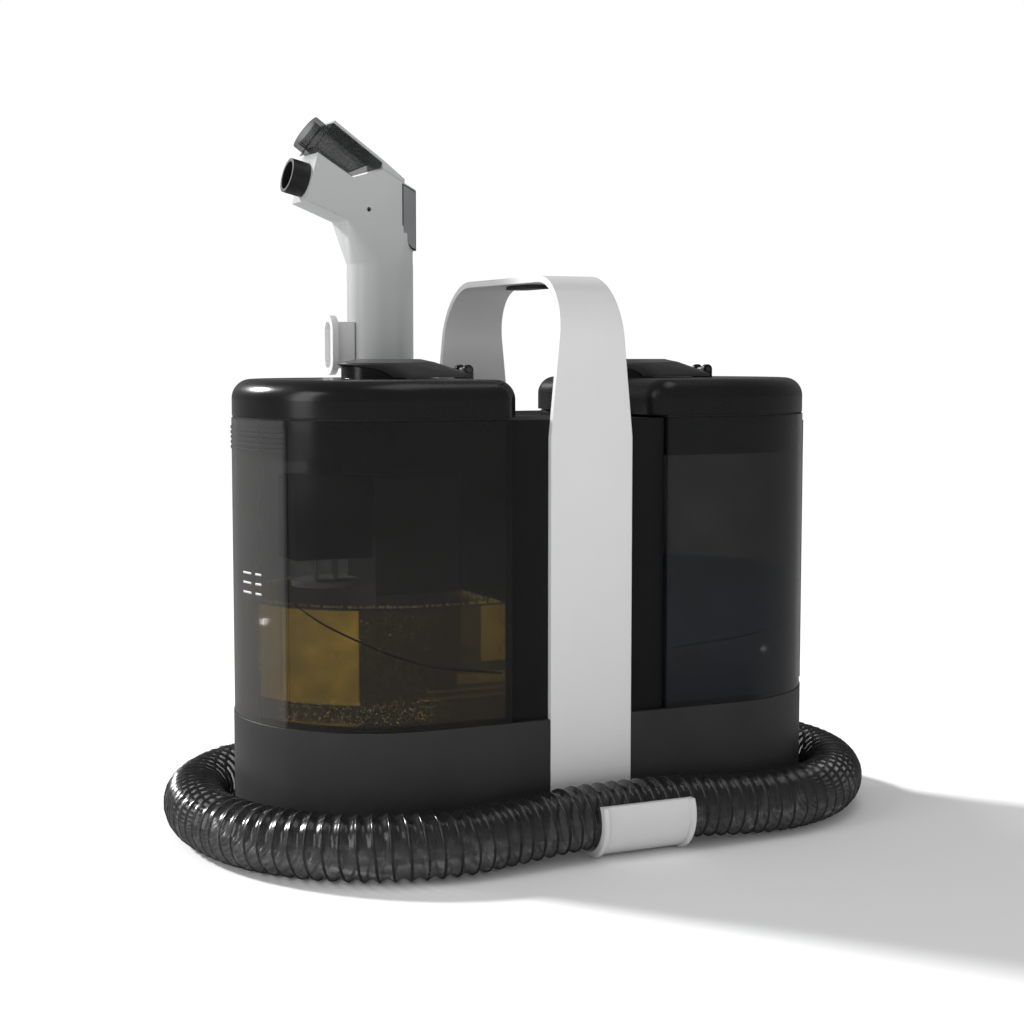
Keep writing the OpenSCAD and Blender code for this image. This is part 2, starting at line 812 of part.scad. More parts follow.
module float_housing() {
    color([0.1, 0.1, 0.1]) translate([float_pos[0], float_pos[1], float_box_z]) difference() {
        translate([-float_box[0] / 2, -float_box[1] / 2, 0]) cube(float_box);
        translate([-float_box[0] / 2 + 2, -float_box[1] / 2 + 2, 2])
            cube([float_box[0] - 4, float_box[1] - 4, float_box[2] - 4]);
        for (side = [-1, 1]) translate([side * float_rod_gap / 2, 0, -1])
            cylinder(r = float_rod_r + running_gap, h = 8, $fn = 24);
        translate([0, 0, float_box[2] - 5]) cylinder(r = 6.5, h = 10, $fn = ROUND);
    }
}

module float_valve() {
    color("whitesmoke") translate([float_pos[0], float_pos[1], float_disc_z]) {
        cylinder(r = float_disc_r, h = 3);
        for (side = [-1, 1]) translate([side * float_rod_gap / 2, 0, 2])
            cylinder(r = float_rod_r, h = float_box_z - float_disc_z + 1, $fn = 24);
        translate([0, 0, float_box_z - float_disc_z + 2.1]) cylinder(r = 9, h = 3, $fn = ROUND);
    }
}

// ---------- hose ----------

function spline(p, t) =
    let (n = len(p) - 1, i = min(floor(t), n - 1), u = t - i,
         a = p[max(i - 1, 0)], b = p[i], c = p[i + 1], d = p[min(i + 2, n)])
    0.5 * (2 * b + (c - a) * u + (2 * a - 5 * b + 4 * c - d) * u * u
           + (3 * b - a - 3 * c + d) * u * u * u);

function unit(v) = v / norm(v);

hose_line = [for (k = [0 : hose_steps * (len(hose_points) - 1)])
    spline(hose_points, k / hose_steps)];

// Direction at each ring; both ends stand square to the sockets they meet
function heading(k) =
    k == 0 ? [1, 0, 0]
    : k == len(hose_line) - 1 ? [0, 0, 1]
    : unit(hose_line[k + 1] - hose_line[k - 1]);

// A side vector carried along the line, so that the rings do not twist
function carried(k) =
    let (h = heading(k), s = k == 0 ? [0, 0, 1] : carried(k - 1)) unit(s - (s * h) * h);

module sweep_tube(r, sides) {
    rings = [for (k = [0 : len(hose_line) - 1])
        let (h = heading(k), s = carried(k), w = cross(h, s))
        for (j = [0 : sides - 1])
            hose_line[k] + r * (cos(360 * j / sides) * s + sin(360 * j / sides) * w)];
    last = len(hose_line) - 1;
    polyhedron(points = rings, faces = concat(
        [[for (j = [0 : sides - 1]) sides - 1 - j]],
        [for (k = [0 : last - 1]) for (j = [0 : sides - 1])
            let (n = (j + 1) % sides)
            [k * sides + j, k * sides + n, (k + 1) * sides + n, (k + 1) * sides + j]],
        [[for (j = [0 : sides - 1]) last * sides + j]]));
}

module hose() {
    color([0.28, 0.28, 0.28]) sweep_tube(hose_r, hose_sides);
}

// ---------- rear dock ----------

module grip_plan(grow) {
    for (side = [-1, 1]) translate([side * grip_flat, 0]) circle(r = grip_round + grow, $fn = ROUND);
    square([2 * grip_flat, 2 * (grip_round + grow)], center = true);
}

module dock_bracket() {
    reach = grip_flat + grip_round + dock_gap;
    color([0.12, 0.12, 0.12]) difference() {
        union() {
            translate([grip_x, grip_y, dock_z]) linear_extrude(dock_h)
                grip_plan(dock_gap + dock_wall);
            translate([grip_x - reach - dock_wall, grip_y, dock_z])
                cube([2 * (reach + dock_wall), dock_arm, dock_h]);
            translate([dock_foot[0], column_depth, dock_z - 6])
                cube([dock_foot[1] - dock_foot[0], 6, dock_h + 6]);
            translate([grip_x, column_depth + 4.5, dock_z])
                cube([dock_foot[1] - 2 - grip_x, 12, dock_h]);
        }
        translate([grip_x, grip_y, dock_z - 1]) linear_extrude(dock_h + 2) grip_plan(dock_gap);
        translate([grip_x - reach, grip_y, dock_z - 1]) cube([2 * reach, 60, dock_h + 2]);
        translate([grip_x - 60, grip_y + dock_arm, dock_z - 1]) cube([120, 60, dock_h + 2]);
        for (spot = dock_screw_spots) translate([spot[0], column_depth, spot[1]]) {
            cyl_y(1.75, 60);
            translate([0, 4, 0]) rotate([-90, 0, 0]) cylinder(r = 3.6, h = 30, $fn = 24);
        }
    }
}

module dock_screws() {
    color("silver") for (spot = dock_screw_spots)
        translate([spot[0], column_depth + 4, spot[1]]) rotate([90, 0, 0]) screw(1.7, 11);
}

// ---------- hand tool ----------

module side_view(half) {
    translate([0, grip_y, 0]) rotate([90, 0, 0]) linear_extrude(2 * half, center = true) children();
}

module head_outline() {
    polygon([head_tip, head_brow, head_notch, head_saddle, head_ridge, head_back, head_heel,
             head_chin, head_throat]);
}

module head_spine() {
    up = [sin(35.5), cos(35.5)];
    polygon([head_saddle + [0.1, -0.6], spine_start + (duct_gap + 0.1) * up, spine_end + (duct_gap + 0.1) * up,
             spine_end + (duct_gap + spine_wall) * up, spine_start + (duct_gap + spine_wall) * up,
             head_ridge + [2, 1.6], head_ridge + [1.5, -3]]);
}

// The round grip runs out into the flat head
module grip_flare() {
    hull() {
        translate([grip_x, grip_y, grip_top - flare_h - 0.7]) linear_extrude(0.3) grip_plan(-0.15);
        side_view(head_half - 0.3)
            polygon([head_throat + [-6, 2.6], head_throat + [-6, 6], [-34, 350], [-34, 346]]);
    }
}

module grip_solid() {
    translate([grip_x, grip_y, grip_bottom]) linear_extrude(grip_top - flare_h - grip_bottom)
        grip_plan(0);
    grip_flare();
    translate([grip_x, grip_y, dock_z + dock_h + 0.2]) linear_extrude(collar_h) grip_plan(2.5);
    side_view(head_half) head_outline();
    side_view(head_half - 1) head_spine();
}

module grip_hollow() {
    translate([grip_x, grip_y, grip_bottom - 1])
        linear_extrude(grip_top - grip_bottom - 8) grip_plan(-3);
    side_view(head_half - 2.5) polygon([
        head_tip + [5.7, 1.2], head_brow + [3.5, -7], head_notch + [0, -4], head_saddle + [1, -4],
        head_ridge + [0, -4.5], [-44, 334], [-44, 326], [-65.5, 326], head_throat + [1.5, 2.4]
    ]);
    side_view(head_half - 4) polygon([
        [-49, 369], [-30, 372], [-30, 329], [-37.5, 326], [-49, 331]
    ]);
    translate([spigot_root[0], grip_y, spigot_root[1]]) rotate([0, spigot_turn, 0])
        translate([0, 0, -14]) cylinder(r = spigot_r - 0.8, h = 30, $fn = ROUND);
    translate([trigger_pivot[0], grip_y, trigger_pivot[1]]) cyl_y(1.5, 2 * head_half - 5);
    for (spot = tool_screw_spots)
        translate([spot[0], grip_y, spot[1]]) cyl_y(1.3, 60);
}

module grip_half(front) {
    intersection() {
        difference() {
            grip_solid();
            grip_hollow();
        }
        translate([-200, front ? grip_y - 100 : grip_y, 0]) cube([400, 100, 600]);
    }
}

module grip_shell_front() {
    color("lightgray") grip_half(true);
}

module grip_shell_back() {
    color("lightgray") grip_half(false);
}

module hose_cuff() {
    color([0.15, 0.15, 0.15]) translate([grip_x, grip_y, 0]) difference() {
        union() {
            translate([0, 0, cuff_bottom]) cylinder(r = cuff_r, h = grip_bottom - cuff_bottom);
            translate([0, 0, grip_bottom - EPS]) cylinder(r = 12.8, h = 14, $fn = ROUND);
        }
        translate([0, 0, cuff_bottom - 1]) cylinder(r = 11, h = 60, $fn = ROUND);
    }
}

module side_boss() {
    color("whitesmoke") translate([grip_x, grip_y, boss_z]) difference() {
        union() {
            translate([-31, -8, -14]) cube([11.4, 16, 28]);
            for (z = [-9, 9]) translate([-34, 0, z]) rotate([0, 90, 0])
                cylinder(r = 9, h = 4, $fn = ROUND);
            translate([-34, -9, -9]) cube([4, 18, 18]);
        }
        translate([0, 0, -20]) linear_extrude(40) grip_plan(0);
        for (z = [-9, 9]) translate([-35, 0, z]) rotate([0, 90, 0])
            cylinder(r = 5, h = 4, $fn = ROUND);
        translate([-35, -5, -9]) cube([4, 10, 18]);
    }
}

module tool_trigger() {
    color("gray") difference() {
        union() {
            side_view(head_half - 4.4) polygon([
                [-44, 366.4], [-31.2, 361.6], [-30.8, 332], [-36.5, 329.5], [-40.5, 334]
            ]);
            translate([trigger_pivot[0], grip_y, trigger_pivot[1]]) cyl_y(3.4, 2 * head_half - 8.8);
        }
        translate([trigger_pivot[0], grip_y, trigger_pivot[1]]) cyl_y(1.5 + running_gap, 60);
    }
}

module tool_valve() {
    color("goldenrod") {
        translate([-62, grip_y - 5, 356]) cube([12, 10, 9]);
        translate([trigger_pivot[0], grip_y, trigger_pivot[1]]) cyl_y(1.5, 2 * head_half - 5);
    }
}

module clear_duct() {
    color([0.35, 0.37, 0.38, 0.5]) difference() {
        union() {
            side_view(head_half - 1) polygon([
                head_brow + [0.2, 0.9], head_notch + [0, 0.8], head_saddle + [-1.3, 0.7],
                spine_start, spine_end, head_brow + [-2.7, -0.1]
            ]);
            translate([duct_mouth[0], grip_y, duct_mouth[1]]) rotate([0, duct_turn, 0])
                cylinder(r = duct_mouth_r, h = duct_mouth_h, $fn = ROUND);
        }
        side_view(head_half - 3.2) polygon([
            head_brow + [2.8, 1.9], head_notch + [0, 3.5], head_saddle + [-6.2, 3.6],
            spine_end - [1.2, 1.9], head_brow + [0.7, 4.6]
        ]);
        translate([duct_mouth[0], grip_y, duct_mouth[1]]) rotate([0, duct_turn, 0])
            translate([0, 0, -0.5]) cylinder(r = duct_bore, h = 30, $fn = ROUND);
    }
}

module tool_spigot() {
    color("black") translate([spigot_root[0], grip_y, spigot_root[1]])
        rotate([0, spigot_turn, 0]) difference() {
            union() {
                translate([0, 0, -4]) cylinder(r = spigot_r - 0.8, h = spigot_step + 5, $fn = ROUND);
                translate([0, 0, spigot_step])
                    cylinder(r = spigot_r, h = spigot_end - spigot_step, $fn = ROUND);
            }
            translate([0, 0, -5]) cylinder(r = spigot_r - 2, h = 40, $fn = ROUND);
        }
}

module tool_screws() {
    color("silver") for (spot = tool_screw_spots)
        translate([spot[0], grip_y + 1, spot[1]]) cyl_y(1.3, 20);
}

// ---------- what is drawn ----------

base_shell();
base_plate();
feet();
base_screws();
column_front();
column_back();
column_screws();
carry_band();
power_button();
hose_cradle();
motor_can();
motor_bearings();
motor_rotor();
fan_wheel();
fan_housing();
water_pump();
pump_outlet();
control_board();
cord_gland();
duct_seal();
suction_elbow();
hose_port();
window_seal();
valve_seat();
dock_bracket();
dock_screws();
hose();
dirty_tank();
standpipe();
dirty_lid();
dirty_lid_seal();
dirty_cap();
dirty_cap_seal();
dirty_cap_pin();
float_housing();
float_valve();
clean_tank();
valve_body();
valve_plunger();
clean_lid();
clean_lid_seal();
clean_cap();
clean_cap_seal();
clean_cap_pin();
grip_shell_front();
grip_shell_back();
hose_cuff();
side_boss();
tool_trigger();
tool_valve();
clear_duct();
tool_spigot();
tool_screws();
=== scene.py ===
# %% [markdown]
# # Dressing a portable carpet cleaner
# The machine arrives as exact solids in one shared frame. This lesson gives them
# their looks: smoked tanks with water in them, a ribbed see-through hose, satin and
# glossy plastics, rubber, steel and brass. Lengths are in metres throughout.
# The first cell loads the frame.

# %% Load the frame
import json
import math

import bmesh
import bpy
import numpy as np
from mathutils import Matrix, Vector


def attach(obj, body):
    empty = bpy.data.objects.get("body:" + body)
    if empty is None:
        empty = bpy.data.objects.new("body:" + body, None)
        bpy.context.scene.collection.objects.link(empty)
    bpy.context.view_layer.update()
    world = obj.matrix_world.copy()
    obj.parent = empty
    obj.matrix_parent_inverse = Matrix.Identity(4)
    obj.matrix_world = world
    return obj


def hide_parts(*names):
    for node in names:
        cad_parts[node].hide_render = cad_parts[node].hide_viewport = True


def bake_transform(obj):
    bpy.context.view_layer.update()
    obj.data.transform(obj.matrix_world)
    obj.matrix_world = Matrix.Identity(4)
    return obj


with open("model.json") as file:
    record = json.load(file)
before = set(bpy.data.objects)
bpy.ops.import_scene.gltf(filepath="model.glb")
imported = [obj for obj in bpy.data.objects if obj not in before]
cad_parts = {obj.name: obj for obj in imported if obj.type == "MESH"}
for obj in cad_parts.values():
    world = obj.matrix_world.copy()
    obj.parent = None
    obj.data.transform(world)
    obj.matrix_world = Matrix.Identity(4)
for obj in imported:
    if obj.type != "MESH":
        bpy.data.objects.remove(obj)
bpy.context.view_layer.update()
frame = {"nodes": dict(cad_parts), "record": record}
cad_nodes = frame["nodes"]
scene = bpy.context.scene

# %% [markdown]
# ## The camera
# A product picture is taken from a little above the object and well back, with a
# longish lens, so that upright edges stay upright. The camera stands in front and
# to the left, 1.05 m away, and looks down by about five degrees.

# %% Camera
camera_data = bpy.data.cameras.new("camera")
camera_data.lens = 63.9
camera_data.sensor_width = 36.0
camera = bpy.data.objects.new("camera", camera_data)
camera.location = (-0.4526, -0.9417, 0.2640)
camera.rotation_euler = (math.radians(90 - 4.88), 0.0, math.radians(-25.18))
scene.collection.objects.link(camera)
scene.camera = camera
print("camera", camera_data.lens, "mm")

# %% [markdown]
# ## The route of the hose
# A hose has a fixed length, so its route comes before its looks. The points below
# run from the port at the back, round the foot of the machine, through the cradle
# at the front and up into the grip. A Catmull-Rom curve passes through all of them
# and leaves no corner.

# %% Hose route
HOSE_POINTS = np.array([
    [74, 103, 17.2], [101, 100, 17.2], [131, 91, 17.2], [161, 71, 17.2], [183, 40, 17.2],
    [191, 5, 17.2], [187, -30, 17.2], [171, -62, 17.2], [145, -87, 17.2], [112, -100, 17.4],
    [80, -102, 18.6], [48, -101.5, 20.6], [13, -101.5, 21], [-20, -101.5, 20.6],
    [-55, -104, 18.6], [-92, -108, 17.4], [-128, -101, 17.2], [-160, -81, 17.2],
    [-183, -49, 17.2], [-193, -8, 17.2], [-190, 30, 17.2], [-178, 62, 17.2],
    [-157, 87, 17.4], [-130, 101, 18.4], [-104, 105, 23.6], [-82, 105, 35.2],
    [-65, 104.5, 52.4], [-54, 104, 74], [-50, 104, 98],
]) / 1000.0
HOSE_RADIUS = 0.017
HOSE_PITCH = 0.0077


def smooth_route(points, steps):
    """Points of a Catmull-Rom curve through points, with steps pieces for each gap."""
    line = []
    for i in range(len(points) - 1):
        a, b = points[max(i - 1, 0)], points[i]
        c, d = points[i + 1], points[min(i + 2, len(points) - 1)]
        for u in (np.arange(steps) / steps)[:, None]:
            line.append((0.5 * (2 * b + (c - a) * u + (2 * a - 5 * b + 4 * c - d) * u * u
                                + (3 * b - a - 3 * c + d) * u ** 3)).ravel())
    line.append(points[-1])
    return np.array(line)


hose_line = smooth_route(HOSE_POINTS, 8)

# %% [markdown]
# ## Small helpers
# A node tree made by hand is long, so three helpers keep it readable: `put` adds a
# node and fills its inputs, and `sums` and `vectors` add one step of arithmetic.
# `mesh_piece` makes a mesh object from plain lists and turns its faces outwards.

# %% Helpers for node trees and meshes


def put(tree, kind, values=None, **settings):
    """Add a node to a tree; values fills inputs by name or number."""
    node = tree.nodes.new(kind)
    for key, value in settings.items():
        setattr(node, key, value)
    for key, value in (values or {}).items():
        if isinstance(value, bpy.types.NodeSocket):
            tree.links.new(value, node.inputs[key])
        else:
            node.inputs[key].default_value = value
    return node


def sums(tree, operation, *values):
    """A Math node of the given operation, as its output socket."""
    return put(tree, "ShaderNodeMath", dict(enumerate(values)), operation=operation).outputs[0]


def vectors(tree, operation, values):
    """A Vector Math node of the given operation, as its output socket."""
    return put(tree, "ShaderNodeVectorMath", values, operation=operation).outputs[0]


def face_outwards(mesh):
    """Turn every face of a mesh outwards."""
    work = bmesh.new()
    work.from_mesh(mesh)
    bmesh.ops.recalc_face_normals(work, faces=work.faces)
    work.to_mesh(mesh)
    work.free()


def mesh_piece(name, points, faces, smooth=True):
    """A mesh object at the origin from lists of points and faces."""
    mesh = bpy.data.meshes.new(name)
    mesh.from_pydata([tuple(p) for p in points], [], [tuple(f) for f in faces])
    mesh.update()
    face_outwards(mesh)
    mesh.polygons.foreach_set("use_smooth", [smooth] * len(mesh.polygons))
    piece = bpy.data.objects.new(name, mesh)
    scene.collection.objects.link(piece)
    return piece


print("helpers ready")

# %% [markdown]
# ## Finishes
# Every finish is a small node tree. Colour, gloss and relief all vary a little
# over a real moulding, so each tree mixes a slow cloud of noise with a fine grain.
# Values that are the same all over are set on the shader itself, so that they
# survive in other programs.

# %% A moulded plastic
CLOUD_SIZE = 0.045
GRAIN_SIZE = 0.0009
GLOSS_SPREAD = 0.07


def shader_tree(name):
    """A new material, its tree, its Principled shader and its Object coordinates."""
    finish = bpy.data.materials.new(name)
    finish.use_nodes = True
    tree = finish.node_tree
    shader = tree.nodes["Principled BSDF"]
    place = put(tree, "ShaderNodeTexCoord").outputs["Object"]
    return finish, tree, shader, place


def noise(tree, place, size, detail=2.0, rough=0.5):
    """Noise whose lumps are about size metres across, as a socket from 0 to 1."""
    return put(tree, "ShaderNodeTexNoise", {
        "Vector": place, "Scale": 1.0 / size, "Detail": detail, "Roughness": rough}).outputs[0]


def spread(tree, value, low, high, start=0.3, end=0.7):
    """Map a value from start..end to low..high."""
    return put(tree, "ShaderNodeMapRange",
               {0: value, 1: start, 2: end, 3: low, 4: high}).outputs[0]


def blend_colours(tree, share, first, second):
    """Mix two colours, given as colours or sockets."""
    mix = put(tree, "ShaderNodeMix", data_type="RGBA")
    for socket, value in ((mix.inputs[0], share), (mix.inputs[6], first), (mix.inputs[7], second)):
        if isinstance(value, bpy.types.NodeSocket):
            tree.links.new(value, socket)
        else:
            socket.default_value = value if isinstance(value, float) else (*value, 1.0)
    return mix.outputs[2]


def relief(tree, height, depth, edge=0.0):
    """A Bump node; edge softens the corners of the solid by that radius."""
    bump = put(tree, "ShaderNodeBump", {"Height": height, "Distance": depth, "Strength": 1.0})
    if edge:
        soft = put(tree, "ShaderNodeBevel", {"Radius": edge}, samples=4)
        tree.links.new(soft.outputs[0], bump.inputs["Normal"])
    return bump.outputs[0]


def shade(colour, factor):
    """A colour made lighter or darker."""
    return tuple(min(1.0, c * factor) for c in colour)


def moulded(name, colour, rough, grain=0.00002, clouds=0.12, specular=0.5, edge=0.0005):
    """A moulded plastic or rubber, with a fine grain and slightly uneven gloss."""
    finish, tree, shader, place = shader_tree(name)
    slow = noise(tree, place, CLOUD_SIZE, 3.0)
    fine = noise(tree, place, GRAIN_SIZE, 3.0, 0.6)
    tone = blend_colours(tree, spread(tree, slow, 0.0, 1.0), shade(colour, 1 - clouds),
                         shade(colour, 1 + clouds))
    tree.links.new(tone, shader.inputs["Base Color"])
    mixed = sums(tree, "ADD", slow, sums(tree, "MULTIPLY", fine, 0.5))
    gloss = spread(tree, mixed, rough - GLOSS_SPREAD, rough + GLOSS_SPREAD, 0.5, 1.0)
    tree.links.new(gloss, shader.inputs["Roughness"])
    tree.links.new(relief(tree, fine, grain, edge), shader.inputs["Normal"])
    shader.inputs["Specular IOR Level"].default_value = specular
    return finish


finishes = {
    "dark_plastic": moulded("dark_plastic", (0.031, 0.031, 0.0306), 0.46, specular=0.4),
    "under_plastic": moulded("under_plastic", (0.012, 0.012, 0.012), 0.6),
    "foot_rubber": moulded("foot_rubber", (0.02, 0.02, 0.02), 0.8, grain=0.00006),
    "column_plastic": moulded("column_plastic", (0.0075, 0.0075, 0.0078), 0.55, specular=0.25),
    "white_plastic": moulded("white_plastic", (0.705, 0.71, 0.705), 0.36, clouds=0.015,
                             grain=0.00001, edge=0.0009),
    "button_plastic": moulded("button_plastic", (0.012, 0.012, 0.012), 0.5),
    "pump_plastic": moulded("pump_plastic", (0.06, 0.07, 0.085), 0.5),
    "seal_rubber": moulded("seal_rubber", (0.012, 0.012, 0.012), 0.62, grain=0.00004),
    "duct_plastic": moulded("duct_plastic", (0.085, 0.085, 0.086), 0.4),
    "lid_plastic": moulded("lid_plastic", (0.0065, 0.0065, 0.0065), 0.26, specular=0.4,
                           grain=0.000006, edge=0.0007),
    "float_plastic": moulded("float_plastic", (0.01, 0.01, 0.01), 0.4),
    "float_white": moulded("float_white", (0.62, 0.62, 0.58), 0.25, clouds=0.05),
    "valve_orange": moulded("valve_orange", (0.6, 0.16, 0.03), 0.35),
    "grip_plastic": moulded("grip_plastic", (0.495, 0.50, 0.50), 0.34, clouds=0.02,
                            grain=0.00001, edge=0.0012),
    "trigger_plastic": moulded("trigger_plastic", (0.14, 0.145, 0.15), 0.42),
}
print(len(finishes), "plastics and rubbers")

# %% [markdown]
# Metals are the same idea with the metallic switch on. Drawn and brushed steel have
# fine lines along one direction: noise is stretched by a Mapping node, and only
# its gloss and relief follow the lines.

# %% Metals


def brushed(name, colour, rough, stretch):
    """A metal with fine lines; stretch says along which axis they run."""
    finish, tree, shader, place = shader_tree(name)
    along = put(tree, "ShaderNodeMapping", {"Vector": place, "Scale": stretch}).outputs[0]
    lines = noise(tree, along, 0.0005, 2.0)
    slow = noise(tree, place, 0.02)
    tree.links.new(blend_colours(tree, spread(tree, slow, 0.0, 1.0), shade(colour, 0.9), colour),
                   shader.inputs["Base Color"])
    tree.links.new(spread(tree, lines, rough - 0.08, rough + 0.1), shader.inputs["Roughness"])
    tree.links.new(relief(tree, lines, 0.00001, 0.0002), shader.inputs["Normal"])
    shader.inputs["Metallic"].default_value = 1.0
    return finish


finishes.update({
    "screw_steel": brushed("screw_steel", (0.55, 0.56, 0.58), 0.32, (1, 0.05, 1)),
    "motor_steel": brushed("motor_steel", (0.42, 0.42, 0.44), 0.36, (0.06, 0.06, 1)),
    "bearing_steel": brushed("bearing_steel", (0.62, 0.62, 0.64), 0.16, (1, 0.05, 1)),
    "rotor_steel": brushed("rotor_steel", (0.30, 0.25, 0.22), 0.42, (0.06, 0.06, 2)),
    "fan_aluminium": brushed("fan_aluminium", (0.68, 0.69, 0.70), 0.33, (0.1, 1, 1)),
    "valve_brass": brushed("valve_brass", (0.66, 0.45, 0.16), 0.25, (1, 0.06, 1)),
})


def lacquered_board():
    """The green board: lacquer over copper tracks that show as slightly raised lines."""
    finish, tree, shader, place = shader_tree("board")
    upright = put(tree, "ShaderNodeMapping", {"Vector": place, "Rotation": (math.pi / 2, 0, 0)})
    tracks = put(tree, "ShaderNodeTexBrick", {
        "Vector": upright.outputs[0], "Color1": (0.012, 0.09, 0.035, 1),
        "Color2": (0.02, 0.12, 0.045, 1), "Mortar": (0.05, 0.22, 0.08, 1),
        "Scale": 160.0, "Mortar Size": 0.03})
    tree.links.new(tracks.outputs["Color"], shader.inputs["Base Color"])
    tree.links.new(relief(tree, tracks.outputs["Fac"], 0.00005), shader.inputs["Normal"])
    shader.inputs["Roughness"].default_value = 0.25
    return finish


finishes["board"] = lacquered_board()
print("metals and board ready")

# %% [markdown]
# ## See-through plastics
# A smoked wall dims what is behind it and mirrors the room more and more towards
# its edges. Bending light through every wall would be slow and grainy, and a
# 2.5 mm wall hardly bends it. So the walls let light straight through: Alpha says
# how much each surface dims, and a Layer Weight raises it where the wall is seen
# edge on.

# %% Smoked walls
SMEARS = 0.04
LAMP_SHARE = 0.75
FROST_AND_PAINTED_LIGHT = (0.05, 0.05, 0.049)


def smoked(name, colour, dim, rim, rough, frost=None):
    """A see-through plastic: dim is its opacity face on, and rim its opacity edge on.

    It lets more of the lamps' light in than the eye sees. Where X is below frost,
    the wall is frosted: it is rougher, and its colour is painted paler as painted light from the
    left lamp.
    """
    finish, tree, shader, place = shader_tree(name)
    facing = put(tree, "ShaderNodeLayerWeight", {"Blend": 0.35}).outputs["Facing"]
    slow = noise(tree, place, 0.03, 3.0)
    veil = sums(tree, "MULTIPLY", spread(tree, slow, -1.0, 1.0), SMEARS)
    cover = sums(tree, "ADD", spread(tree, facing, dim, rim, 0.0, 1.0), veil)
    seen = put(tree, "ShaderNodeClamp", {0: cover, 1: 0.02, 2: 0.98}).outputs[0]
    lamp = put(tree, "ShaderNodeLightPath").outputs["Is Shadow Ray"]
    kept = sums(tree, "SUBTRACT", 1.0, sums(tree, "MULTIPLY", lamp, LAMP_SHARE))
    tree.links.new(sums(tree, "MULTIPLY", seen, kept), shader.inputs["Alpha"])
    tone = blend_colours(tree, spread(tree, slow, 0.0, 1.0), shade(colour, 0.85),
                         shade(colour, 1.15))
    gloss = spread(tree, slow, rough, rough * 2.0)
    if frost:
        along = put(tree, "ShaderNodeSeparateXYZ", {0: place}).outputs[0]
        # The frosted part is rougher, and its paler colour is painted light from the left lamp.
        frost_and_light_share = spread(tree, along, 1.0, 0.0, frost - 0.0006, frost + 0.0006)
        tone = blend_colours(tree, frost_and_light_share, tone, FROST_AND_PAINTED_LIGHT)
        gloss = sums(tree, "ADD", gloss, sums(tree, "MULTIPLY", frost_and_light_share, 0.22))
    tree.links.new(tone, shader.inputs["Base Color"])
    tree.links.new(gloss, shader.inputs["Roughness"])
    return finish


finishes.update({
    "dirty_tank_plastic": smoked("dirty_tank_plastic", (0.008, 0.0079, 0.0075), 0.62, 0.95, 0.09,
                                 frost=-0.1600),
    "clean_tank_plastic": smoked("clean_tank_plastic", (0.008, 0.0083, 0.009), 0.66, 0.97, 0.09),
    "duct_clear": smoked("duct_clear", (0.03, 0.031, 0.032), 0.5, 0.9, 0.05),
})
print("smoked walls ready")

# %% Dress the solids


def dress(node, finish):
    """Give every material slot of a solid the same finish."""
    for holder in cad_nodes[node].material_slots:
        holder.material = finish


for part in frame["record"]["subparts"]:
    if part["material_slot"] in finishes:
        dress(part["node"], finishes[part["material_slot"]])
# The caps are a lighter grey than the lids; part of this lightness is a painted reflection of the
# sky on their tops.
cap_finish = moulded("cap_plastic", (0.06, 0.06, 0.06), 0.42, edge=0.0008)
for name in ("dirty_cap", "clean_cap", "dirty_cap_pin", "clean_cap_pin"):
    dress(name, cap_finish)
print("solids dressed")

# %% [markdown]
# ## Growing repeated shapes with Geometry Nodes
# Ribs, bubbles and marks repeat, so small node trees make them. Each tree has named
# inputs for its sizes. `grow` runs one on a starting shape, turns the result into
# an ordinary mesh and throws the modifier away.

# %% Geometry Nodes helpers


def new_tree(name, sizes):
    """An empty Geometry Nodes tree with named inputs; returns it with its two end nodes."""
    tree = bpy.data.node_groups.new(name, "GeometryNodeTree")
    tree.interface.new_socket("Geometry", in_out="INPUT", socket_type="NodeSocketGeometry")
    tree.interface.new_socket("Geometry", in_out="OUTPUT", socket_type="NodeSocketGeometry")
    kinds = {float: "NodeSocketFloat", int: "NodeSocketInt"}
    for label, value in sizes.items():
        socket = tree.interface.new_socket(label, in_out="INPUT", socket_type=kinds[type(value)])
        socket.default_value = value
    tree.interface.new_socket("Finish", in_out="INPUT", socket_type="NodeSocketMaterial")
    return tree, tree.nodes.new("NodeGroupInput").outputs, tree.nodes.new("NodeGroupOutput").inputs


def close_tree(tree, shape, finish, out):
    """End a tree as every tree here ends: real copies, smooth faces and a material."""
    real = put(tree, "GeometryNodeRealizeInstances", {"Geometry": shape}).outputs[0]
    smooth = put(tree, "GeometryNodeSetShadeSmooth", {"Geometry": real}).outputs[0]
    dressed = put(tree, "GeometryNodeSetMaterial", {"Geometry": smooth, "Material": finish})
    tree.links.new(dressed.outputs[0], out["Geometry"])


def grow(name, tree, start, finish, values=None):
    """Run a tree on the start object and keep its result as a plain mesh object."""
    modifier = start.modifiers.new("grow", "NODES")
    modifier.node_group = tree
    wanted = {**(values or {}), "Finish": finish}
    for socket in tree.interface.items_tree:
        if socket.item_type == "SOCKET" and socket.in_out == "INPUT" and socket.name in wanted:
            modifier[socket.identifier] = wanted[socket.name]
    seen = start.evaluated_get(bpy.context.evaluated_depsgraph_get())
    mesh = bpy.data.meshes.new_from_object(seen)
    mesh.name = name
    bpy.data.objects.remove(start)
    face_outwards(mesh)
    piece = bpy.data.objects.new(name, mesh)
    scene.collection.objects.link(piece)
    print(f"{name}: {len(mesh.polygons)} faces")
    return piece


def line_object(name, points):
    """A poly curve through points."""
    curve = bpy.data.curves.new(name, "CURVE")
    curve.dimensions = "3D"
    spline = curve.splines.new("POLY")
    spline.points.add(len(points) - 1)
    for point, place in zip(spline.points, points):
        point.co = (*place, 1.0)
    line = bpy.data.objects.new(name, curve)
    scene.collection.objects.link(line)
    return line


print("grow ready")

# %% [markdown]
# ## The hose
# The real hose is a thin smoked film held open by a spiral of stiff wire. Two trees
# follow the same route. The first sweeps a circle and lets the film sink a little
# between the turns of the spiral. The second winds the wire: every point of the
# route is pushed out sideways by an angle that grows with the length.

# %% Hose film tree


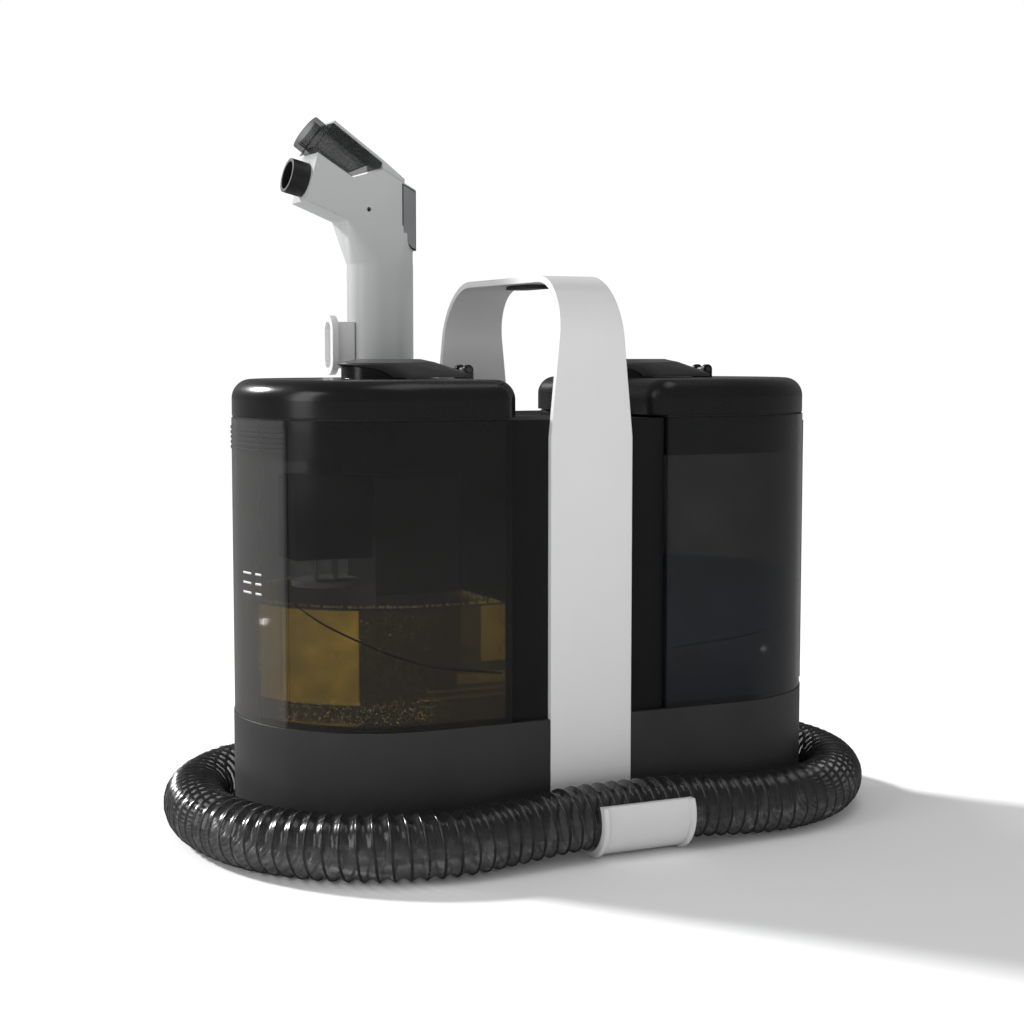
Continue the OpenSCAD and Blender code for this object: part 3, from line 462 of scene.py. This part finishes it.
def hose_film_tree():
    """A swept tube whose wall dips between the turns of a spiral."""
    tree, given, out = new_tree("hose_film", {
        "Radius": HOSE_RADIUS, "Pitch": HOSE_PITCH, "Dip": 0.0016, "Step": 0.0011, "Sides": 40})
    route = put(tree, "GeometryNodeResampleCurve", {
        "Curve": given["Geometry"], "Length": given["Step"]}, mode="LENGTH").outputs[0]
    along = put(tree, "GeometryNodeCaptureAttribute", {"Geometry": route})
    along.capture_items.new("FLOAT", "along")
    along.capture_items.new("VECTOR", "middle")
    length = put(tree, "GeometryNodeSplineParameter").outputs["Length"]
    tree.links.new(length, along.inputs["along"])
    tree.links.new(put(tree, "GeometryNodeInputPosition").outputs[0], along.inputs["middle"])
    ring = put(tree, "GeometryNodeCurvePrimitiveCircle", {
        "Resolution": given["Sides"], "Radius": given["Radius"]}).outputs[0]
    around = put(tree, "GeometryNodeCaptureAttribute", {"Geometry": ring})
    around.capture_items.new("FLOAT", "around")
    factor = put(tree, "GeometryNodeSplineParameter").outputs["Factor"]
    tree.links.new(factor, around.inputs["around"])
    tube = put(tree, "GeometryNodeCurveToMesh", {
        "Curve": along.outputs[0], "Profile Curve": around.outputs[0],
        "Fill Caps": True}).outputs[0]
    laps = sums(tree, "DIVIDE", along.outputs["along"], given["Pitch"])
    turns = sums(tree, "SUBTRACT", laps, around.outputs["around"])
    wave = sums(tree, "COSINE", sums(tree, "MULTIPLY", turns, 2 * math.pi))
    half_dip = sums(tree, "MULTIPLY", given["Dip"], 0.5)
    dip = sums(tree, "MULTIPLY", sums(tree, "SUBTRACT", wave, 1.0), half_dip)
    share = sums(tree, "ADD", sums(tree, "DIVIDE", dip, given["Radius"]), 1.0)
    wall = put(tree, "GeometryNodeInputPosition").outputs[0]
    outward = vectors(tree, "SUBTRACT", {0: wall, 1: along.outputs["middle"]})
    scaled = vectors(tree, "SCALE", {0: outward, "Scale": share})
    moved = vectors(tree, "ADD", {0: scaled, 1: along.outputs["middle"]})
    shaped = put(tree, "GeometryNodeSetPosition", {"Geometry": tube, "Position": moved}).outputs[0]
    close_tree(tree, shaped, given["Finish"], out)
    return tree


# %% Hose wire tree


def hose_wire_tree():
    """A wire wound round the route as a spiral."""
    tree, given, out = new_tree("hose_wire", {
        "Radius": HOSE_RADIUS - 0.0005, "Pitch": HOSE_PITCH, "Wire": 0.0009,
        "Points per turn": 22})
    step = sums(tree, "DIVIDE", given["Pitch"], given["Points per turn"])
    route = put(tree, "GeometryNodeResampleCurve", {
        "Curve": given["Geometry"], "Length": step}, mode="LENGTH").outputs[0]
    length = put(tree, "GeometryNodeSplineParameter").outputs["Length"]
    angle = sums(tree, "MULTIPLY", sums(tree, "DIVIDE", length, given["Pitch"]), 2 * math.pi)
    side = put(tree, "GeometryNodeInputNormal").outputs[0]
    ahead = put(tree, "GeometryNodeInputTangent").outputs[0]
    across = vectors(tree, "CROSS_PRODUCT", {0: ahead, 1: side})
    first = vectors(tree, "SCALE", {0: side, "Scale": sums(tree, "COSINE", angle)})
    second = vectors(tree, "SCALE", {0: across, "Scale": sums(tree, "SINE", angle)})
    both = vectors(tree, "ADD", {0: first, 1: second})
    push = vectors(tree, "SCALE", {0: both, "Scale": given["Radius"]})
    wound = put(tree, "GeometryNodeSetPosition", {"Geometry": route, "Offset": push}).outputs[0]
    ring = put(tree, "GeometryNodeCurvePrimitiveCircle", {
        "Resolution": 6, "Radius": given["Wire"]}).outputs[0]
    wire = put(tree, "GeometryNodeCurveToMesh", {
        "Curve": wound, "Profile Curve": ring, "Fill Caps": True}).outputs[0]
    close_tree(tree, wire, given["Finish"], out)
    return tree


# %% [markdown]
# The film needs a finish of its own. Dust and handling leave it milky in patches,
# so noise breaks up its opacity and its colour. Low down its colour is painted paler,
# as painted light bounced from the floor, and higher up it is painted dark.

# %% Hose finishes


def hose_film_finish():
    """A smoked film with milky patches, painted paler near the floor as painted light, and a
    bright gloss.
    """
    finish, tree, shader, place = shader_tree("hose_film")
    facing = put(tree, "ShaderNodeLayerWeight", {"Blend": 0.4}).outputs["Facing"]
    patches = noise(tree, place, 0.006, 4.0, 0.65)
    milky = spread(tree, patches, 0.0, 1.0, 0.5, 0.72)
    cover = sums(tree, "ADD", spread(tree, facing, 0.5, 0.93, 0.0, 1.0),
                 sums(tree, "MULTIPLY", milky, 0.12))
    alpha = put(tree, "ShaderNodeClamp", {0: cover, 1: 0.05, 2: 0.97}).outputs[0]
    tree.links.new(alpha, shader.inputs["Alpha"])
    height = put(tree, "ShaderNodeSeparateXYZ", {0: place}).outputs[2]
    # Painted light: the colour runs from dark higher up to the paler dusty tone near the floor,
    # for light bounced from the floor.
    low = spread(tree, height, 1.0, 0.0, 0.012, 0.028)
    dust_and_floor_light = blend_colours(tree, milky, (0.08, 0.08, 0.079), (0.22, 0.22, 0.217))
    tree.links.new(blend_colours(tree, low, (0.02, 0.02, 0.02), dust_and_floor_light),
                   shader.inputs["Base Color"])
    tree.links.new(spread(tree, patches, 0.12, 0.3), shader.inputs["Roughness"])
    shader.inputs["Specular IOR Level"].default_value = 0.9
    return finish


hose_film = hose_film_finish()
hose_wire = moulded("hose_wire", (0.013, 0.013, 0.013), 0.22, specular=0.7, edge=0.0, clouds=0.2)
film = grow("hose_skin", hose_film_tree(), line_object("route", hose_line), hose_film)
wire = grow("hose_spiral", hose_wire_tree(), line_object("route", hose_line), hose_wire)
for piece in (film, wire):
    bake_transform(piece)
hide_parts("hose")
print("hose laid")

# %% [markdown]
# ## Water in the tanks
# Both tanks hold water, which is a body of its own with a flat top. It follows the
# inside of the tank 0.4 mm clear of the wall. The dirty water is brown and cloudy,
# with bright amber patches of painted light, and the clean water is a clear blue grey.
# Both waters have a painted glow.

# %% Water bodies
TANK_CENTRE = 0.0925
TANK_RADIUS = 0.077
TANK_FLAT = 0.0495
WATER_GAP = 0.0004
WATER_FLOOR = 0.0730
DIRTY_LEVEL = 0.135
CLEAN_LEVEL = 0.138


def tank_outline(side, gap):
    """Outline of a tank's inside, gap clear of its walls; side is -1 dirty, 1 clean."""
    inside, radius = TANK_FLAT + gap, TANK_RADIUS - gap
    turn = np.linspace(-math.pi / 2, math.pi / 2, 64)
    line = [(TANK_CENTRE + radius * math.cos(a), radius * math.sin(a)) for a in turn]
    line += [(inside, radius), (inside, -radius)]
    return [(side * x, y) for x, y in line]


def water_body(name, side, surface, rings=14):
    """A closed body of water: walls, a floor and a finely divided top."""
    outline = tank_outline(side, WATER_GAP)
    middle = np.array([side * 0.098, 0.0])
    points, faces, count = [], [], len(outline)
    for z in (WATER_FLOOR, WATER_FLOOR + 0.5 * (surface - WATER_FLOOR), surface - 0.0004):
        points += [(x, y, z) for x, y in outline]
    for low in (0, count):
        for i in range(count):
            j = (i + 1) % count
            faces.append((low + i, low + j, low + count + j, low + count + i))
    faces.append(tuple(reversed(range(count))))
    base = 2 * count
    for ring in range(1, rings + 1):
        share = 1 - ring / (rings + 1) if ring > 1 else 0.985
        start = len(points)
        for x, y in outline:
            p = middle + (np.array([x, y]) - middle) * share
            lift = 0.00012 * math.sin(140 * p[0] + 3 * math.sin(90 * p[1]))
            points.append((p[0], p[1], surface - 0.0008 + lift))
        for i in range(count):
            j = (i + 1) % count
            faces.append((base + i, base + j, start + j, start + i))
        base = start
    points.append((*middle, surface - 0.0008))
    faces += [(base + i, base + (i + 1) % count, len(points) - 1) for i in range(count)]
    return mesh_piece(name, points, faces)


print("water bodies ready")

# %% [markdown]
# The water's finish glows a little. This glow is painted light, standing in for light
# scattered in cloudy water. Each zone is a painted bright patch of it, given as its
# share and its limits along X and Z.

# %% Water finish
ZONE_EDGE = 0.0006
DIRTY_PAINTED_LIGHT_ZONES = ((1.0, -0.1602, -0.1290, 0.0840, 0.1335), (0.62, -0.1668, -0.1602, 0.0840, 0.1335),
               (0.42, -0.0640, -0.0480, 0.1040, 0.1345), (0.28, -0.0780, -0.0480, 0.0925, 0.0985),
               (0.20, -0.1000, -0.0480, 0.0850, 0.0870), (0.24, -0.0960, -0.0480, 0.0890, 0.0905),
               (0.50, -0.1602, -0.1290, 0.0728, 0.0745))


def between(tree, value, low, high):
    """1 where a value lies between low and high, with soft edges, and 0 outside."""
    return sums(tree, "MULTIPLY",
                spread(tree, value, 0.0, 1.0, low - ZONE_EDGE, low + ZONE_EDGE),
                spread(tree, value, 1.0, 0.0, high - ZONE_EDGE, high + ZONE_EDGE))


def water_finish(name, deep, pale, painted_glow, cover, level, painted_light_zones=()):
    """Cloudy water with a painted glow, from its deep colour to its pale one, and painted dimmer
    at its surface.
    """
    finish, tree, shader, place = shader_tree(name)
    along, _, height = put(tree, "ShaderNodeSeparateXYZ", {0: place}).outputs
    cloud = noise(tree, place, 0.012, 4.0, 0.6)
    # Painted light: each zone raises the pale share, which paints a bright patch of light into the
    # water.
    band = 0.05 if painted_light_zones else 0.6
    for share, left, right, low, high in painted_light_zones:
        painted_patch = sums(tree, "MULTIPLY", between(tree, along, left, right),
                    between(tree, height, low, high))
        band = sums(tree, "MAXIMUM", sums(tree, "MULTIPLY", painted_patch, share), band)
    share = sums(tree, "MULTIPLY", band, spread(tree, cloud, 0.72, 1.0))
    # Painted shade: the pale share falls to a quarter at the surface, so the top is painted darker
    # and glows less.
    below = spread(tree, height, 1.0, 0.25, level - 0.002, level - 0.001)
    tone = blend_colours(tree, sums(tree, "MULTIPLY", share, below), deep, pale)
    # Painted glow: the water emits its own colour, as if it were lit from within.
    for socket in ("Base Color", "Emission Color"):
        tree.links.new(tone, shader.inputs[socket])
    shader.inputs["Emission Strength"].default_value = painted_glow
    shader.inputs["Roughness"].default_value = 0.1
    tree.links.new(spread(tree, cloud, cover - 0.08, cover + 0.08), shader.inputs["Alpha"])
    return finish


dirty_water = water_body("dirty_water", -1, DIRTY_LEVEL)
dirty_water.data.materials.append(water_finish(
    "dirty_water", (0.022, 0.018, 0.012), (0.62, 0.40, 0.05), 1.35, 0.82, DIRTY_LEVEL,
    DIRTY_PAINTED_LIGHT_ZONES))
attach(dirty_water, "dirty_tank_body")
clean_water = water_body("clean_water", 1, CLEAN_LEVEL)
clean_water.data.materials.append(water_finish(
    "clean_water", (0.010, 0.013, 0.022), (0.035, 0.045, 0.075), 1.1, 0.6, CLEAN_LEVEL))
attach(clean_water, "clean_tank_body")
print("water poured")

# %% [markdown]
# Used water froths. Bubbles gather on top, most of them against the wall, and specks
# of dirt and air hang just behind the wall. Both are scattered by one tree: points
# are strewn over a patch, and a small ball of random size is put on each.

# %% Bubbles and specks
SPECK_GAP = 0.0005
FOAM_GAP = 0.0012


def strewn_tree():
    """Small balls strewn over a patch of mesh."""
    tree, given, out = new_tree("strewn", {"Density": 20000.0, "Small": 0.0002, "Large": 0.0006,
                                           "Seed": 3, "Fineness": 1})
    points = put(tree, "GeometryNodeDistributePointsOnFaces", {
        "Mesh": given["Geometry"], "Density": given["Density"], "Seed": given["Seed"]})
    ball = put(tree, "GeometryNodeMeshIcoSphere", {
        "Radius": 1.0, "Subdivisions": given["Fineness"]})
    draw = put(tree, "FunctionNodeRandomValue", {"Seed": given["Seed"]}, data_type="FLOAT")
    for socket in draw.inputs:
        if socket.enabled and socket.name in ("Min", "Max"):
            tree.links.new(given["Small" if socket.name == "Min" else "Large"], socket)
    size = [socket for socket in draw.outputs if socket.enabled][0]
    balls = put(tree, "GeometryNodeInstanceOnPoints", {
        "Points": points.outputs["Points"], "Instance": ball.outputs["Mesh"], "Scale": size})
    close_tree(tree, balls.outputs[0], given["Finish"], out)
    return tree


def wall_patch(name, turn, low, high, columns=24):
    """A strip just behind the dirty tank's round end, from one angle to another."""
    radius = TANK_RADIUS - SPECK_GAP
    angles = np.radians(np.linspace(*turn, columns))
    points = [(-(TANK_CENTRE + radius * math.cos(a)), radius * math.sin(a), z)
              for z in (low, high) for a in angles]
    return mesh_piece(name, points, [(i, i + 1, columns + i + 1, columns + i)
                                     for i in range(columns - 1)])


def ring_patch(name, height, wide):
    """A flat band on the dirty water, as wide as given, along the tank's wall."""
    outer, inner = tank_outline(-1, FOAM_GAP), tank_outline(-1, FOAM_GAP + wide)
    count = len(outer)
    points = [(x, y, height) for x, y in outer + inner]
    return mesh_piece(name, points, [(i, (i + 1) % count, count + (i + 1) % count, count + i)
                                     for i in range(count)])


def painted_glow_finish(name, colour, painted_glow):
    """Small bubbles and specks with a painted glow: they emit light, standing in for the light
    that scatters in the water.
    """
    finish, tree, shader, place = shader_tree(name)
    tone = blend_colours(tree, spread(tree, noise(tree, place, 0.003), 0.0, 1.0),
                         shade(colour, 0.25), colour)
    for socket in ("Base Color", "Emission Color"):
        tree.links.new(tone, shader.inputs[socket])
    # Painted glow: the bubbles and specks emit their own colour.
    shader.inputs["Emission Strength"].default_value = painted_glow
    shader.inputs["Roughness"].default_value = 0.2
    return finish


strewn = strewn_tree()
foam_finish = painted_glow_finish("foam", (0.45, 0.38, 0.14), 0.8)
speck_finish = painted_glow_finish("specks", (0.8, 0.62, 0.25), 1.6)
foam = grow("foam", strewn, ring_patch("foam_patch", DIRTY_LEVEL - 0.0002, 0.005), foam_finish,
            {"Density": 190000.0, "Small": 0.0003, "Large": 0.0010, "Seed": 5})
specks = grow("specks", strewn, wall_patch("speck_patch", (-120, 25), 0.0745, 0.133),
              speck_finish, {"Density": 150000.0, "Small": 0.0001, "Large": 0.00034, "Seed": 8})
settled = grow("settled_specks", strewn, wall_patch("settled_patch", (-100, -25), 0.074, 0.086),
               speck_finish, {"Density": 480000.0, "Small": 0.00012, "Large": 0.00042, "Seed": 9})
for piece in (foam, specks, settled):
    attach(piece, "dirty_tank_body")

# %% [markdown]
# The wall of each tank is moulded with a curved rib on the inside. It is a thin rod
# that runs from the round end down to the flat side.

# %% Curved ribs in the tanks
RIB_WALL = 0.0762
RIB_RADIUS = 0.0007
RIB_SIDES = 8


def inner_rib(name, side, turns, run, body):
    """A thin rod along the inner wall, through (angle, height) and then (x, height) stops."""
    spots = [(side * (TANK_CENTRE + RIB_WALL * math.cos(math.radians(a))),
              RIB_WALL * math.sin(math.radians(a)), z) for a, z in turns]
    spots += [(side * x, -RIB_WALL, z) for x, z in run]
    line = smooth_route(np.array(spots), 8)
    points, faces, last = [], [], len(line) - 1
    for k, spot in enumerate(line):
        ahead = Vector(line[min(k + 1, last)] - line[max(k - 1, 0)]).normalized()
        lean = spot[0] - side * TANK_CENTRE if abs(spot[0]) > TANK_CENTRE else 0.0
        out = Vector((lean, spot[1], 0.0)).normalized()
        up = ahead.cross(out)
        for turn in [2 * math.pi * i / RIB_SIDES for i in range(RIB_SIDES)]:
            points.append(Vector(spot) + RIB_RADIUS * (math.cos(turn) * out + math.sin(turn) * up))
    for start in range(0, last * RIB_SIDES, RIB_SIDES):
        end = start + RIB_SIDES
        for i in range(RIB_SIDES):
            j = (i + 1) % RIB_SIDES
            faces.append((start + i, start + j, end + j, end + i))
    faces += [tuple(range(RIB_SIDES)), tuple(range(last * RIB_SIDES, (last + 1) * RIB_SIDES))]
    rib = mesh_piece(name, points, faces)
    rib.data.materials.append(finishes["column_plastic"])
    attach(rib, body)


inner_rib("dirty_tank_rib", -1, ((-34, 0.136), (-46, 0.127), (-60, 0.1184), (-77, 0.1087)),
          ((0.0876, 0.1022), (0.0515, 0.0968)), "dirty_tank_body")
inner_rib("clean_tank_rib", 1, ((-12, 0.1155), (-39, 0.1119), (-61, 0.1099), (-82, 0.1075)),
          ((0.0831, 0.1055), (0.0515, 0.1033)), "clean_tank_body")
print("ribs moulded")

# %% [markdown]
# A printed scale on the dirty tank shows how full it is. It has no figures: one tree
# repeats a short bar upwards, and every bar is bent to the round wall.

# %% Level marks
MARK_WALL = 0.07955
MARK_THICK = 0.0001
MARK_FOOT, MARK_TOP = 0.1385, 0.1397


def marks_tree():
    """A short bar, bent to a round wall, repeated upwards."""
    tree, given, out = new_tree("marks", {"Count": 3, "Gap": 0.0052})
    rows = put(tree, "GeometryNodeMeshLine", {"Count": given["Count"]}, mode="OFFSET")
    offset = put(tree, "ShaderNodeCombineXYZ", {2: given["Gap"]}).outputs[0]
    tree.links.new(offset, rows.inputs["Offset"])
    bars = put(tree, "GeometryNodeInstanceOnPoints", {
        "Points": rows.outputs[0], "Instance": given["Geometry"]})
    close_tree(tree, bars.outputs[0], given["Finish"], out)
    return tree


def bent_bar(name, turn, n=9):
    """A thin bar on the dirty tank's round wall from one angle to another."""
    angles = np.radians(np.linspace(*turn, n))
    points = [(-(TANK_CENTRE + r * math.cos(a)), r * math.sin(a), z)
              for r in (MARK_WALL, MARK_WALL + MARK_THICK) for z in (MARK_FOOT, MARK_TOP)
              for a in angles]
    faces = []
    for i in range(n - 1):
        faces += [(i, i + 1, n + i + 1, n + i),
                  (2 * n + i, 3 * n + i, 3 * n + i + 1, 2 * n + i + 1),
                  (i, 2 * n + i, 2 * n + i + 1, i + 1),
                  (n + i, n + i + 1, 3 * n + i + 1, 3 * n + i)]
    faces += [(0, n, 3 * n, 2 * n), (n - 1, 3 * n - 1, 4 * n - 1, 2 * n - 1)]
    return mesh_piece(name, points, faces, smooth=False)


mark_finish = moulded("mark_white", (0.5, 0.5, 0.5), 0.5, clouds=0.05, edge=0.0, grain=0.0)
ladder = marks_tree()
for name, turn in (("level_marks_long", (-5, -12)), ("level_marks_short", (-15, -19))):
    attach(grow(name, ladder, bent_bar("bar", turn), mark_finish), "dirty_tank_body")

# %% [markdown]
# The back of the hand tool carries a soft grey grip strip beside the trigger, on
# both sides of the head. It sits in a gap, so each side has two thin plates: the
# dark one below is a little larger and shows round the strip as painted shade in the gap.

# %% Grip strip on the hand tool
TOOL_MIDDLE = 0.104
HEAD_HALF = 0.014
SUNK = 0.0004


def wrapped_strip(name, outline, thick, finish):
    """Two plates on the sides of the head, from an outline in x and z."""
    count = len(outline)
    points, faces = [], []
    for side in (-1, 1):
        start = len(points)
        for y in (HEAD_HALF - SUNK, HEAD_HALF + thick):
            points += [(x, TOOL_MIDDLE + side * y, z) for x, z in outline]
        faces += [tuple(start + i for i in range(count)),
                  tuple(start + count + i for i in range(count))]
        for i in range(count):
            j = (i + 1) % count
            faces.append((start + i, start + j, start + count + j, start + count + i))
    strip = mesh_piece(name, points, faces, smooth=False)
    strip.data.materials.append(finish)
    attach(strip, "hand_tool")


STRIP = [(-0.0401, 0.3672), (-0.0323, 0.3632), (-0.0323, 0.3290), (-0.0346, 0.3300),
         (-0.0401, 0.3356)]
GAP_SHADE = [(-0.0407, 0.3683), (-0.0319, 0.3638), (-0.0319, 0.3280), (-0.0347, 0.3291),
       (-0.0407, 0.3352)]
# Painted shade: the dark plate below stands in for the shade in the gap round the strip.
wrapped_strip("grip_strip_gap_shade", GAP_SHADE, 0.0002, finishes["seal_rubber"])
wrapped_strip("grip_strip", STRIP, 0.0005, moulded("strip_grey", (0.21, 0.215, 0.22), 0.5))
print("strip fitted")

# %% [markdown]
# ## The studio
# The floor is pale and the light soft. One broad lamp behind and to the left throws
# the shadow forward and to the right, and the sky fills the shadows. A low lamp in
# front lifts the hose and the foot of the band without showing in any reflection.
# The sky and the floor are bright to the eye but dimmer in reflections, which keeps
# black plastic black.

# %% Studio
SKY_LIGHT, SKY_SEEN, SKY_MIRRORED = 0.44, 0.58, -0.26
floor = mesh_piece("studio_floor", [(-8, -8, 0), (8, -8, 0), (8, 16, 0), (-8, 16, 0)],
                   [(0, 1, 2, 3)], smooth=False)
floor_finish, floor_tree, floor_shader, floor_place = shader_tree("studio_floor")
floor_tone = blend_colours(floor_tree, noise(floor_tree, floor_place, 0.6), (0.93, 0.93, 0.935),
                           (0.95, 0.95, 0.95))
floor_tree.links.new(floor_tone, floor_shader.inputs["Base Color"])
floor_shader.inputs["Roughness"].default_value = 0.9
floor_shader.inputs["Specular IOR Level"].default_value = 0.1
floor_path = put(floor_tree, "ShaderNodeLightPath")
mirrored = sums(floor_tree, "MULTIPLY", floor_path.outputs["Is Glossy Ray"], 0.75)
dark_floor = put(floor_tree, "ShaderNodeBsdfDiffuse", {"Color": (0.02, 0.02, 0.02, 1.0)})
floor_mix = put(floor_tree, "ShaderNodeMixShader", {
    0: mirrored, 1: floor_shader.outputs[0], 2: dark_floor.outputs[0]})
floor_tree.links.new(floor_mix.outputs[0], floor_tree.nodes["Material Output"].inputs["Surface"])
floor.data.materials.append(floor_finish)

world = bpy.data.worlds.new("studio_sky")
world.use_nodes = True
scene.world = world
sky = world.node_tree
path = put(sky, "ShaderNodeLightPath")
dim = sums(sky, "MULTIPLY", path.outputs["Is Glossy Ray"], SKY_MIRRORED)
seen = sums(sky, "MULTIPLY", path.outputs["Is Camera Ray"], SKY_SEEN)
level = sums(sky, "ADD", sums(sky, "ADD", SKY_LIGHT, dim), seen)
sky.links.new(level, sky.nodes["Background"].inputs["Strength"])
sky.nodes["Background"].inputs["Color"].default_value = (1, 1, 1, 1)


def place_lamp(name, kind, place, target, **settings):
    """A lamp of the given kind at a place, turned towards a target."""
    data = bpy.data.lights.new(name, kind)
    for key, value in settings.items():
        setattr(data, key, value)
    lamp = bpy.data.objects.new(name, data)
    lamp.location = place
    scene.collection.objects.link(lamp)
    lamp.rotation_euler = (Vector(target) - lamp.location).to_track_quat("-Z", "Y").to_euler()
    return lamp


place_lamp("key", "SUN", (-1.0, 1.38, 1.0), (0, 0, 0), energy=4.3, angle=math.radians(7))
place_lamp("left_box", "AREA", (-1.5, -0.25, 0.75), (0, 0, 0.15), shape="RECTANGLE",
           size=0.5, size_y=1.2, energy=6)
place_lamp("top_box", "AREA", (0.2, -0.2, 1.6), (0, 0, 0.2), shape="RECTANGLE",
           size=1.0, size_y=0.6, energy=2.5)
low_box = place_lamp("low_box", "AREA", (-0.1, -1.3, 0.15), (0, -0.1, 0.02), shape="RECTANGLE",
                     size=1.4, size_y=0.25, energy=2.2)
low_box.visible_glossy = False
scene.view_settings.view_transform = "Standard"
print("studio lit")
